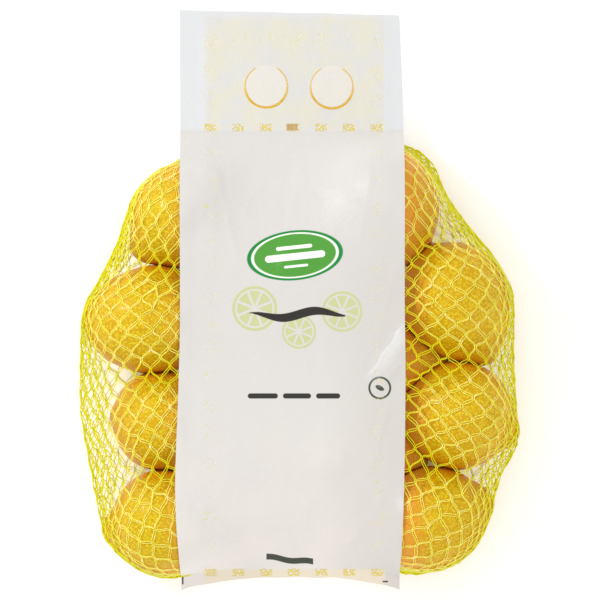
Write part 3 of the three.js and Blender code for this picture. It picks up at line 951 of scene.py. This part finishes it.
# %% Gold rims
RIM_RADIUS = 0.2
RIM_LIFT = 0.12
RIM_TUBES = ((0, 0), (0.1, 0.45))     # how far outside the cut, and how far it sags


def flap_rims():
    start = math.pi / 2 + FLAP_HINGE / 2
    angle = np.linspace(start, start + 2 * math.pi - FLAP_HINGE, 90)
    way = np.stack([np.cos(angle), np.sin(angle)], axis=-1)
    waver = 0.1 * soft_noise(angle * 9, angle, 3, 3, 2)
    paths = []
    for centre in FLAP_CENTRES:
        for outside, drop in RIM_TUBES:
            reach = FLAP_RADIUS + outside + drop * np.maximum(-np.sin(angle), 0) + waver
            place = np.array(centre) + way * reach[:, None]
            height = seam_height(place[:, 1]) + HEADER_HALF_GAP + RIM_LIFT
            paths.append(np.column_stack([place, height]))
    paths = np.array(paths)
    return make_threads("flap_rims", paths, np.broadcast_to([0.0, 0.0, 1.0], paths.shape),
                        RIM_RADIUS)


rims = flap_rims()
print("rims", len(rims.data.polygons), "faces")

# %% [markdown]
# ## Working with masks
# Print, welds and stains are all masks: numbers from 0 to 1 that vary over the surface. They
# are sums of plain arithmetic, so a small class lets a Math node be written as + or *.

# %% Arithmetic on node sockets


def srgb(red, green, blue):
    """A colour given as 0 to 255 screen values, as Blender's linear light."""
    screen = np.array([red, green, blue]) / 255
    light = np.where(screen <= 0.04045, screen / 12.92, ((screen + 0.055) / 1.055) ** 2.4)
    return (*light.tolist(), 1.0)


class Field:
    """A number that varies over a surface."""

    def __init__(self, tree, socket):
        self.tree = tree
        self.socket = socket

    def math(self, operation, *others, clamp=False):
        node = self.tree.nodes.new("ShaderNodeMath")
        node.operation = operation
        node.use_clamp = clamp
        for slot, value in zip(node.inputs, (self, *others)):
            if isinstance(value, Field):
                self.tree.links.new(value.socket, slot)
            else:
                slot.default_value = value
        return Field(self.tree, node.outputs[0])

    def __add__(self, other):
        return self.math("ADD", other)

    def __sub__(self, other):
        return self.math("SUBTRACT", other)

    def __mul__(self, other):
        return self.math("MULTIPLY", other)

    def __abs__(self):
        return self.math("ABSOLUTE")

    def least(self, other):
        return self.math("MINIMUM", other)

    def most(self, other):
        return self.math("MAXIMUM", other)

    def flip(self):
        return (self * -1) + 1

    def inside(self, softness):
        """1 where a distance is below zero, 0 where it is above, with a soft step."""
        return (self * (-1 / softness)).math("ADD", 0.5, clamp=True)

    def between(self, low, high):
        """0 below low, 1 above high."""
        return ((self - low) * (1 / (high - low))).math("ADD", 0, clamp=True)


def length_of(x, y):
    return (x * x + y * y).math("SQRT")


def least_of(fields):
    """Where any of several distances is small: shapes put together."""
    return functools.reduce(Field.least, fields)


def most_of(fields):
    """Where any of several masks is 1."""
    return functools.reduce(Field.most, fields)


def ellipse(x, y, cx, cy, half_x, half_y):
    reach = length_of((x - cx) * (1 / half_x), (y - cy) * (1 / half_y))
    return (reach - 1) * min(half_x, half_y)


def bar(x, y, cx, cy, half_x, radius):
    """Distance to a bar with round ends."""
    return length_of((abs(x - cx) - (half_x - radius)).most(0), y - cy) - radius


def spread_x_y(tree, place):
    """The x and y of a place in metres, as two fields in millimetres."""
    split = tree.nodes.new("ShaderNodeSeparateXYZ")
    tree.links.new(place, split.inputs[0])
    return Field(tree, split.outputs[0]) * 1000, Field(tree, split.outputs[1]) * 1000


print("a quarter is", round(srgb(137, 137, 137)[0], 2), "in linear light when it shows as 137")

# %% [markdown]
# ## Building a finish
# A finish is one Principled shader with paint laid on in coats: each coat is a colour and the
# mask that says where it covers what lies under it. Everything reads object coordinates, which
# here are the real place on the pack, so prints and welds stay where they belong.

# %% The finish under construction


class Finish:
    """A material under construction: its node tree, its shader and its object coordinates."""

    def __init__(self, name):
        self.material = bpy.data.materials.new(name)
        self.material.use_nodes = True
        self.tree = self.material.node_tree
        self.shader = self.tree.nodes["Principled BSDF"]
        self.place = self.node("ShaderNodeTexCoord").outputs["Object"]

    def node(self, kind, **settings):
        node = self.tree.nodes.new(kind)
        for key, value in settings.items():
            setattr(node, key, value)
        return node

    def feed(self, slot, value):
        """Links a field or a socket to a slot, or sets the slot's own number or colour."""
        if isinstance(value, Field):
            self.tree.links.new(value.socket, slot)
        elif isinstance(value, bpy.types.NodeSocket):
            self.tree.links.new(value, slot)
        else:
            slot.default_value = value

    def dress(self, sockets):
        """Feeds sockets of the shader by their names."""
        for name, value in sockets.items():
            self.feed(self.shader.inputs[name], value)

    def attribute(self, name):
        return Field(self.tree, self.node("ShaderNodeAttribute", attribute_name=name).outputs["Fac"])

    def noise(self, size, detail=3.0):
        """Noise from 0 to 1 whose swells are about size millimetres."""
        noise = self.node("ShaderNodeTexNoise")
        noise.inputs["Scale"].default_value = 1000 / size
        noise.inputs["Detail"].default_value = detail
        self.feed(noise.inputs["Vector"], self.place)
        return Field(self.tree, noise.outputs["Fac"])

    def cells(self, size):
        """Distance from the nearest of many scattered points about size millimetres apart."""
        cells = self.node("ShaderNodeTexVoronoi")
        cells.inputs["Scale"].default_value = 1000 / size
        self.feed(cells.inputs["Vector"], self.place)
        return Field(self.tree, cells.outputs["Distance"])

    def paint(self, base, *coats):
        """A base colour under coats of colour, each with the mask that says where it covers."""
        for colour, mask in coats:
            blend = self.node("ShaderNodeMix", data_type="RGBA")
            self.feed(blend.inputs[0], mask)
            self.feed(blend.inputs[6], base)
            self.feed(blend.inputs[7], colour)
            base = blend.outputs[2]
        return base

    def bump(self, height, strength, distance_mm, under=None):
        """Turns a height from 0 to 1 into a normal, on top of the normal under it."""
        bump = self.node("ShaderNodeBump")
        bump.inputs["Strength"].default_value = strength
        bump.inputs["Distance"].default_value = distance_mm * MM
        self.feed(bump.inputs["Height"], height)
        if under is not None:
            self.feed(bump.inputs["Normal"], under)
        return bump.outputs["Normal"]


BLACK = (0, 0, 0, 1)
print("finishes are built with", [name for name in vars(Finish) if not name.startswith("_")])

# %% [markdown]
# ## Lemon peel
# Peel is a bright yellow that drifts a little towards orange. A less ripe-looking fruit is
# deeper orange and a riper one a clearer yellow, as its tone says; the deep orange of
# lemon_right_1 is also painted shade, for the film's shadow that it lies in. It is duller at
# the nipple and the button, which end in a brown scar. Its oil glands are small pits a bit over
# a millimetre apart. They break the highlight into specks, so they are bump, with a slower
# unevenness under them, and a thin coat of wax follows the same pits.
# Colour is painted orange as shade where the surface is seen edge on and in the nooks, warm
# because light that goes into peel comes out warmer; it is painted dark red as shade where two
# lemons touch, and beside the film a nook gives off a little brown painted light, which stands
# for what the fruit behind it passes on.

# %% Peel
PIT_SPACING = 1.35
# shares of the way from stem end to tip, where each mark begins and where it is full
PEEL_ENDS = ((0.915, 0.97), (0.06, 0.02))
SCARS = ((0.984, 0.988), (0.016, 0.012))


def peel_finish():
    peel = Finish("lemon peel")
    tone = peel.attribute("tone")
    nook = peel.attribute("nook")
    touch = peel.attribute("touch")
    specks = peel.cells(PIT_SPACING)
    edge = Field(peel.tree, peel.node("ShaderNodeLayerWeight").outputs["Facing"])
    split = peel.node("ShaderNodeSeparateXYZ")
    peel.feed(split.inputs[0], peel.node("ShaderNodeTexCoord").outputs["UV"])
    along = Field(peel.tree, split.outputs[1])
    ends = most_of([along.between(*span) for span in PEEL_ENDS])
    ragged = along + (peel.noise(1.6, 2.0) - 0.5) * 0.012
    scar = most_of([ragged.between(*span) for span in SCARS])
    colour = peel.paint(
        srgb(213, 176, 0),
        (srgb(208, 164, 0), peel.noise(26, 2.0).between(0.35, 0.68)),
        # deeper orange for less ripe fruit, and for lemon_right_1 also painted shade
        (srgb(192, 144, 4), tone.between(0.5, 0.0) * 0.9),
        (srgb(206, 186, 6), tone.between(0.5, 1.0) * 0.7),
        (srgb(246, 220, 30), specks.between(0.6, 0.2) * 0.6),
        (srgb(200, 146, 0), specks.between(0.5, 0.9) * 0.65),
        (srgb(204, 142, 8), peel.noise(7, 3.0).between(0.62, 0.8) * 0.3),
        # painted shade: orange in the nooks between lemons and beside the film
        (srgb(214, 134, 34), nook.between(0.1, 0.95) * 0.85),
        # painted shade: orange where the peel is seen edge on
        (srgb(238, 148, 0), edge.between(0.3, 0.95) * 0.75),
        # painted shade: dark red where two lemons touch
        (srgb(150, 36, 10), touch * 0.85),
        (srgb(196, 160, 24), ends * 0.45),
        (srgb(92, 58, 22), scar))
    uneven = peel.bump(peel.noise(4.5, 3.0), 0.5, 0.4)
    pitted = peel.bump(specks.between(0.12, 0.6), 0.9, 0.4, uneven)
    peel.dress({"Base Color": colour,
                # painted light: the nooks beside the film give off a little brown light
                "Emission Color": peel.paint(BLACK, (srgb(140, 104, 40), peel.attribute("glow"))),
                "Emission Strength": 0.42,
                "Roughness": peel.noise(3, 2.0).between(0.2, 0.8) * 0.12 + 0.3,
                "Specular IOR Level": touch.flip() * 0.46,
                "Specular Tint": (1, 0.86, 0.35, 1),
                "Coat Weight": 0.13,
                "Coat Roughness": 0.18,
                "Subsurface Weight": 0.15,
                "Subsurface Radius": (0.005, 0.0025, 0.0004),
                "Normal": pitted,
                "Coat Normal": pitted})
    return peel.material


peel = peel_finish()
print(peel.name, "has", len(peel.node_tree.nodes), "nodes")

# %% [markdown]
# ## Yellow strands
# The strands are flat tape of clear polyethylene dyed bright yellow. They are glossy and let
# light through, which is what makes them look brighter than the fruit, so they give off a small
# part of their own colour as painted light. Where the net is drawn tight over the fruit the tape
# is painted paler, a painted sheen, with painted near white glints. A fine twist along the
# strand comes from the length that each tube carries in its run attribute. The melted rims are
# the same stuff, deeper in colour and less smooth, and as nothing is drawn tight there they have
# no painted sheen or glints.

# %% Strand
TWIST = 1.1               # mm for each turn of the tape
PAINTED_SHEEN = srgb(248, 243, 112)
PAINTED_GLINT = srgb(255, 250, 190)


def strand_finish(name, colour, second, roughness):
    strand = Finish(name)
    drawn = strand.attribute("drawn")
    turn = strand.attribute("run") * (2 * math.pi / TWIST) + strand.attribute("tone") * 6
    twist = turn.math("SINE")
    painted_gleam = (twist * 0.2 + strand.noise(3, 2.0)).between(0.3, 0.65)
    paint = strand.paint(
        colour,
        (second, (twist * 0.25 + strand.noise(5, 2.0)).between(0.35, 0.85)),
        # painted sheen and painted glints where the net is drawn over the fruit
        (PAINTED_SHEEN, drawn * (painted_gleam * 0.6 + 0.4)),
        (PAINTED_GLINT, strand.noise(2.2, 1.0).between(0.56, 0.64) * drawn * 0.6))
    strand.dress({"Base Color": paint,
                  # painted light: the strands give off a share of their own colour
                  "Emission Color": paint,
                  "Emission Strength": 0.15,
                  "Roughness": roughness,
                  "Specular IOR Level": 0.35,
                  "Specular Tint": (1, 0.96, 0.5, 1),
                  "Coat Weight": 0.12,
                  "Coat Roughness": 0.12,
                  "Normal": strand.bump(twist, 0.35, 0.08)})
    return strand.material


yarn = strand_finish("yellow yarn", srgb(208, 203, 0), srgb(224, 218, 0), 0.25)
melt = strand_finish("melted rim", srgb(214, 164, 18), srgb(226, 190, 40), 0.4)
print(yarn.name, "and", melt.name, "have", len(yarn.node_tree.nodes), "nodes each")

# %% [markdown]
# ## Weld spots
# Hot bars weld the strips to the net in small spots: a row that is plain to see at the header's
# foot and another at the pack's foot, and a faint frame of spots down both sides and across the
# top. In a spot the film is pressed and smooth, and the yellow net shows through as crooked
# lines. Both strips have them, so they are a node group. It gives the spots, the lines in the
# plain ones and the traces in the faint ones, each as a mask.

# %% Weld spots as a node group
WELD_ROWS = (86.2, -136.6)        # y of the rows that are plain to see
FAINT_ROW_Y = 131.7
WELD_COLUMNS = (-44.3, 39.3)
WELD_PITCH = 13.9
WELD_HALF = (2.9, 1.8)            # half a spot's size along its row and across it
FAINT_ROW_HALF = (4.6, 3.2)
FAINT_COLUMN_HALF = (4.4, 3.6)
FAINT = 0.3               # how much of the press mark a faint spot has


def new_group(name, inputs, outputs):
    group = bpy.data.node_groups.new(name, "ShaderNodeTree")
    for label, kind in inputs:
        group.interface.new_socket(label, in_out="INPUT", socket_type=kind)
    for label, kind in outputs:
        group.interface.new_socket(label, in_out="OUTPUT", socket_type=kind)
    return group, group.nodes.new("NodeGroupInput"), group.nodes.new("NodeGroupOutput")


def edge_lines(group, place, size, wide, sharp):
    """Thin crooked lines, as a net of cells about size millimetres across."""
    cells = group.nodes.new("ShaderNodeTexVoronoi")
    cells.feature = "DISTANCE_TO_EDGE"
    cells.inputs["Scale"].default_value = 1000 / size
    group.links.new(place, cells.inputs["Vector"])
    return Field(group, cells.outputs["Distance"]).between(wide, sharp)


def weld_group():
    group, given, result = new_group("weld spots", [("Place", "NodeSocketVector")],
                                     [("Spots", "NodeSocketFloat"), ("Pattern", "NodeSocketFloat"),
                                      ("Traces", "NodeSocketFloat")])
    place = given.outputs["Place"]
    x, y = spread_x_y(group, place)

    def spots(along, across, first, line, half, soft):
        cell = ((along - (first - WELD_PITCH / 2)) * (1 / WELD_PITCH)).math("FRACT") - 0.5
        return (abs(cell * WELD_PITCH) - half[0]).most(abs(across - line) - half[1]).inside(soft)

    first_x, first_y = WELD_COLUMNS[0], WELD_ROWS[0]
    # no spots beyond the last ones at each end of a row or column
    within_x = x.between(-50, -49.5) * x.between(45.5, 45)
    within_y = y.between(-134, -133) * y.between(131, 130)
    plain = most_of([spots(x, y, first_x, line, WELD_HALF, 0.6) * within_x for line in WELD_ROWS])
    faint = spots(x, y, first_x, FAINT_ROW_Y, FAINT_ROW_HALF, 2.0) * within_x
    faint = most_of([faint, *(spots(y, x, first_y, line, FAINT_COLUMN_HALF, 2.0) * within_y
                              for line in WELD_COLUMNS)])
    patchy = group.nodes.new("ShaderNodeTexNoise")
    patchy.inputs["Scale"].default_value = 1000 / 3.4
    group.links.new(place, patchy.inputs["Vector"])
    faint = faint * Field(group, patchy.outputs["Fac"]).between(0.5, 0.57)
    for name, mask in (("Spots", plain.most(faint * FAINT)),
                       ("Pattern", plain * edge_lines(group, place, 1.5, 0.2, 0.08)),
                       ("Traces", faint * edge_lines(group, place, 2.4, 0.05, 0.018))):
        group.links.new(mask.socket, result.inputs[name])
    return group


WELDS = weld_group()
print(WELDS.name, "has", len(WELDS.nodes), "nodes")

# %% [markdown]
# ## Crinkle
# Thin film that has been stretched and let go is full of fine ridges. Noise folded at its
# middle value gives sharp crooked ridges, and three sizes of it give a crinkle. Both strips
# have it, so it is a node group too, and it puts out a height for a bump.

# %% Crinkle as a node group
CRINKLE_LAYERS = ((14, 0.5), (5, 0.32), (1.8, 0.12))      # size in mm, and share


def crinkle_group():
    group, given, result = new_group("film crinkle", [("Place", "NodeSocketVector")],
                                     [("Height", "NodeSocketFloat")])
    ridges = []
    for size, share in CRINKLE_LAYERS:
        noise = group.nodes.new("ShaderNodeTexNoise")
        for name, value in (("Scale", 1000 / size), ("Detail", 2), ("Distortion", 0.8)):
            noise.inputs[name].default_value = value
        group.links.new(given.outputs["Place"], noise.inputs["Vector"])
        ridges.append(abs(Field(group, noise.outputs["Fac"]) - 0.5) * (-2 * share))
    group.links.new(functools.reduce(Field.__add__, ridges).socket, result.inputs["Height"])
    return group


CRINKLE = crinkle_group()
print(CRINKLE.name, "has", len(CRINKLE.nodes), "nodes")

# %% [markdown]
# ## Print
# The front strip is printed with a green badge, pale citrus wheels, a dark brush stroke and
# a few dark bars, all of them plain shapes. Each is a distance that is below zero inside the
# shape, so shapes are put together with the least of their distances, and a soft step at zero
# makes a distance into ink. Ink that is drawn so stays sharp however near the eye comes.

# %% Print
INK_EDGE = 0.3
WHEEL_PARTS = 8
WHEELS = ((-22, -4.5, 10.5), (21.5, -6, 9.5), (0, -16, 8.0))      # x, y, radius
BADGE = (-2, 22, math.radians(6))                                 # x, y, tilt
BADGE_HALF = (24, 12.4)
# x, y, half length, half width
BADGE_BARS = ((0, 4.0, 9, 0.9), (0, -0.6, 15, 1.7), (0, -5.4, 6, 0.6))
LOW_BARS = ((-18, -48, 7.5, 1.3), (-1, -48, 7, 1.3), (14.5, -48, 6, 1.3))
SEAL = (40.2, -44, 5.2)                                           # x, y, radius


def citrus_wheel(x, y, cx, cy, radius):
    """A cut citrus, its rim and its flesh in parts, as a mask."""
    dx, dy = x - cx, y - cy
    reach = length_of(dx, dy)
    rim = (abs(reach - radius) - radius * 0.07).inside(INK_EDGE)
    part = (dy.math("ARCTAN2", dx) * (WHEEL_PARTS / (2 * math.pi))).math("FRACT")
    off_middle = abs(part - 0.5) * reach * (2 * math.pi / WHEEL_PARTS)
    flesh = (reach - radius * 0.84).most(off_middle * -1 + radius * 0.06).inside(INK_EDGE)
    core = (reach - radius * 0.12).inside(INK_EDGE)
    return rim.most(flesh * core.flip())


def print_on(film, colour, x, y):
    """The front's print over the film's own colour."""
    badge_x, badge_y, tilt = BADGE
    tx = (x - badge_x) * math.cos(tilt) + (y - badge_y) * math.sin(tilt)
    ty = (y - badge_y) * math.cos(tilt) - (x - badge_x) * math.sin(tilt)
    badge = ellipse(tx, ty, 0, 0, *BADGE_HALF)
    badge_bars = least_of([bar(tx, ty, *sizes) for sizes in BADGE_BARS])
    low_bars = least_of([bar(x, y, *sizes) for sizes in LOW_BARS])
    wheels = most_of([citrus_wheel(x, y, *sizes) for sizes in WHEELS])
    wave = y + 7.4 - (x * 0.19).math("SINE") * 1.5 - x * 0.03
    thick = ((x * x) * (-1 / 640) + 1).most(0.0) * 2.3
    stroke = (abs(wave) - thick).most(abs(x + 1.5) - 24.5)
    seal_x, seal_y, seal_radius = SEAL
    ring = abs(length_of(x - seal_x, y - seal_y) - seal_radius) - 0.5
    lemon = ellipse(x - y * 0.5, y + x * 0.5, seal_x - seal_y * 0.5, seal_y + seal_x * 0.5, 2.6, 1.3)
    slope = y + 130.6 + x * 0.11 - (x * 0.35).math("SINE") * 0.5
    foot_mark = (abs(slope) - 1.5).most(abs(x + 4.6) - 11.7)
    ticks = (abs(x + 58.2) - 0.4).most(abs(y + 140.6) - 2).least(
        (abs(x - 43.2) - 1.3).most(abs(y + 141.2) - 0.4))
    return film.paint(
        colour,
        (srgb(192, 197, 138), wheels * 0.9),
        (srgb(8, 130, 54), badge.inside(INK_EDGE)),
        (srgb(240, 246, 232), (badge + 1.1).inside(INK_EDGE)),
        (srgb(76, 150, 52), (badge + 1.8).inside(INK_EDGE)),
        (srgb(246, 250, 240), badge_bars.inside(INK_EDGE)),
        (srgb(38, 34, 28), stroke.inside(INK_EDGE)),
        (srgb(44, 42, 38), low_bars.inside(INK_EDGE)),
        (srgb(58, 66, 56), ring.least(lemon).inside(0.25)),
        (srgb(62, 66, 56), foot_mark.inside(INK_EDGE)),
        (srgb(60, 60, 54), ticks.inside(INK_EDGE)))


print("print:", len(WHEELS), "wheels and", len(BADGE_BARS) + len(LOW_BARS), "bars")

# %% [markdown]
# ## Film
# The film is thin white polyethylene with a satin gloss and fine crinkles. Enough light comes
# through from behind to matter, so a share of its colour is given off as painted light and the
# rest is left to the lamps; no glass or mixing of shaders is needed. It is whiter in the header,
# cream where the flat net lies behind it, and warmer at the foot. Low on the body it is warmer
# and painted lighter, against the shade of the slope down to the foot, and it is painted a
# little darker, as shade, on the slope that turns from the light. A painted highlight lies along
# one fold. Gold melt stains the film round the flaps.

# %% Film
# the film's glow is painted light; it stands for light that comes through from behind and evens out
# the lamps' shading
PAINTED_GLOW_SHARE = 0.38      # the share of the film's light that comes through from behind
PAINTED_GLOW_GAIN = 1.32         # how much brighter that is than the lamps make it
FOLD_HIGHLIGHT = (34, -38, 0.57, 0.82)   # x, y and direction of a fold that catches the light
TAN_MARK = (-3.5, 86.4, 2.8, 1.7)     # a scorched spot: x, y, half width and half height


def film_finish(name, printed):
    film = Finish(name)
    x, y = spread_x_y(film.tree, film.place)
    header = y.between(HEADER_WELD_Y, HEADER_WELD_Y + 2)
    foot = y.between(FOOT_WELD_Y - 0.5, FOOT_WELD_Y - 1.5)
    ragged = y + (film.noise(7, 3.0) - 0.5) * 5
    netted = x.between(NET_EDGE_X[0] - 3, NET_EDGE_X[0] + 0.5)
    netted = netted * x.between(NET_EDGE_X[1] - 0.5, NET_EDGE_X[1] - 2)
    netted = netted * ragged.between(NET_TOP_Y + 5, NET_TOP_Y + 1.5)
    cream = film.paint(srgb(213, 209, 193),
                       (srgb(209, 207, 203), film.noise(9, 3.0).between(0.38, 0.62)))
    colour = film.paint(
        srgb(207, 204, 200),
        # warmer, and painted light: lighter low on the body, against the shade of the slope down to
        # the foot
        (srgb(220, 214, 207), y.between(-20, -128)),
        (srgb(210, 206, 203), film.noise(18, 3.0).between(0.35, 0.7) * 0.6),
        # painted shade on the slope that turns from the light
        (srgb(199, 194, 188), x.between(10, 46) * y.between(60, 10) * 0.75),
        (srgb(210, 211, 212), header),
        (cream, header * netted),
        (srgb(222, 210, 190), foot * netted))
    for cx, cy in FLAP_CENTRES:
        reach = length_of(x - cx, y - cy)
        rim = (abs(reach - FLAP_RADIUS) - 0.62).inside(0.25) * (y - cy).between(2, -5)
        colour = film.paint(colour, (srgb(219, 213, 204), (reach - FLAP_RADIUS).inside(0.3) * 0.7),
                            (srgb(202, 160, 34), rim * 0.85))
    if printed:
        colour = print_on(film, colour, x, y)
        # painted highlight along a fold that catches the light
        fold_x, fold_y, way_x, way_y = FOLD_HIGHLIGHT
        along = (x - fold_x) * way_x + (y - fold_y) * way_y
        off = (x - fold_x) * way_y - (y - fold_y) * way_x + (film.noise(8, 2.0) - 0.5) * 3
        fold = off.between(-0.5, 0.3) * off.between(7, 0.5)
        fold = fold * along.between(-3, 6) * along.between(34, 26)
        colour = film.paint(colour, (srgb(224, 224, 222), fold * 0.8))
    welds = film.node("ShaderNodeGroup", node_tree=WELDS)
    film.feed(welds.inputs["Place"], film.place)
    spots, pattern, traces = (Field(film.tree, welds.outputs[name])
                              for name in ("Spots", "Pattern", "Traces"))
    tan_x, tan_y, tan_half_x, tan_half_y = TAN_MARK
    tan = (abs(x - tan_x) - tan_half_x).most(abs(y - tan_y) - tan_half_y).inside(0.6)
    colour = film.paint(colour,
                        (srgb(230, 228, 222), spots * 0.3),
                        (srgb(214, 190, 24), pattern * 0.85),
                        (srgb(220, 206, 80), traces * 0.6),
                        (srgb(190, 160, 106), tan))
    crinkle = film.node("ShaderNodeGroup", node_tree=CRINKLE)
    film.feed(crinkle.inputs["Place"], film.place)
    folds = film.bump(crinkle.outputs["Height"], 1.0, 0.55)
    # painted light: a share of the colour is given off as light instead of being lit by the lamps
    film.dress({"Base Color": film.paint(colour, (BLACK, PAINTED_GLOW_SHARE)),
                "Emission Color": colour,
                "Emission Strength": PAINTED_GLOW_SHARE * PAINTED_GLOW_GAIN,
                "Normal": film.bump(pattern * -1 - traces * 0.4 - spots * 0.7, 0.7, 0.35, folds),
                "Roughness": film.noise(6, 2.0) * 0.12 + 0.38 - spots * 0.25,
                "Specular IOR Level": 0.32})
    return film.material


printed = film_finish("printed film", True)
plain = film_finish("plain film", False)
print("finishes", [finish.name for finish in (peel, yarn, melt, printed, plain)])

# %% [markdown]
# ## Putting the finishes on
# The solids that these pieces replace are three: the filled net, and the two strips. Nothing
# on the pack moves by itself, so every piece rides on the root.

# %% Put the finishes on and tell the frame what each piece is


def finish_pieces(pieces, material, node):
    for piece in pieces:
        piece.data.materials.clear()
        piece.data.materials.append(material)
        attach(piece, "root")
        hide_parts(node)


finish_pieces(lemon_pieces, peel, "net_bag")
finish_pieces([*net_pieces, net_header], yarn, "net_bag")
finish_pieces([rims], melt, "net_bag")
finish_pieces([film_front], printed, "front_film")
finish_pieces([film_back], plain, "back_film")
all_pieces = [*lemon_pieces, *net_pieces, net_header, rims, film_front, film_back]
print("triangles", sum(len(face.vertices) - 2 for piece in all_pieces
                       for face in piece.data.polygons))

# %% [markdown]
# ## Studio
# A white floor and a bright even surround. A fairly small lamp at the upper left puts
# a highlight on each lemon, and two wide ones, overhead and at the lower right, keep the shadows
# soft. The floor gives off a little light of its own, as a lit table does, but not under the
# pack, where it would shine up between the lemons. The camera looks straight down from far off,
# so that near and far fruit are seen at one scale.

# %% Floor, light and camera
FLOOR_GLOW = 0.18
DARK_MIDDLE = (0, -40, 96, 104)       # the part of the floor under the pack: x, y, half sizes
SURROUND = 0.79
CAMERA_HEIGHT = 5.0
FRUIT_MIDDLE = 0.027      # height of the fruit's middle
FRAME_WIDTH = 0.300       # what the frame shows at that height
SENSOR = 36

deselect()
bpy.ops.mesh.primitive_plane_add(size=6)
floor = bpy.context.object
floor.name = "floor"
ground = Finish("pale floor")
beyond = ellipse(*spread_x_y(ground.tree, ground.place), *DARK_MIDDLE).between(-26, -4)
ground.dress({"Base Color": (0.97, 0.97, 0.97, 1),
              "Roughness": 0.9,
              "Emission Color": ground.paint(BLACK, ((1, 1, 1, 1), beyond)),
              "Emission Strength": FLOOR_GLOW})
floor.data.materials.append(ground.material)

world = bpy.data.worlds.new("surround")
bpy.context.scene.world = world
world.use_nodes = True
background = world.node_tree.nodes["Background"]
background.inputs["Color"].default_value = (1, 1, 1, 1)
background.inputs["Strength"].default_value = SURROUND


def soft_lamp(name, toward, distance, size, power):
    """A round lamp that stands in the direction toward and shines at the origin."""
    lamp = bpy.data.lights.new(name, "AREA")
    lamp.shape = "DISK"
    lamp.size = size
    lamp.energy = power
    holder = bpy.data.objects.new(name, lamp)
    bpy.context.scene.collection.objects.link(holder)
    way = np.array(toward, float) / np.linalg.norm(toward)
    holder.location = way * distance
    holder.rotation_euler = (math.acos(way[2]), 0, math.atan2(way[1], way[0]) + math.pi / 2)
    return holder


soft_lamp("key", (-0.69, 0.46, 0.60), 1.5, 0.24, 9.6)
soft_lamp("overhead", (0.1, 0.0, 1), 1.9, 1.2, 3.4)
soft_lamp("fill", (0.55, -0.6, 0.6), 1.6, 1.0, 3.4)

lens = bpy.data.cameras.new("camera")
lens.sensor_width = SENSOR
lens.lens = SENSOR * (CAMERA_HEIGHT - FRUIT_MIDDLE) / FRAME_WIDTH
camera = bpy.data.objects.new("camera", lens)
camera.location = (0.0005, -0.00025, CAMERA_HEIGHT)
bpy.context.scene.collection.objects.link(camera)
bpy.context.scene.camera = camera
bpy.context.scene.view_settings.view_transform = "Standard"

# %% [markdown]
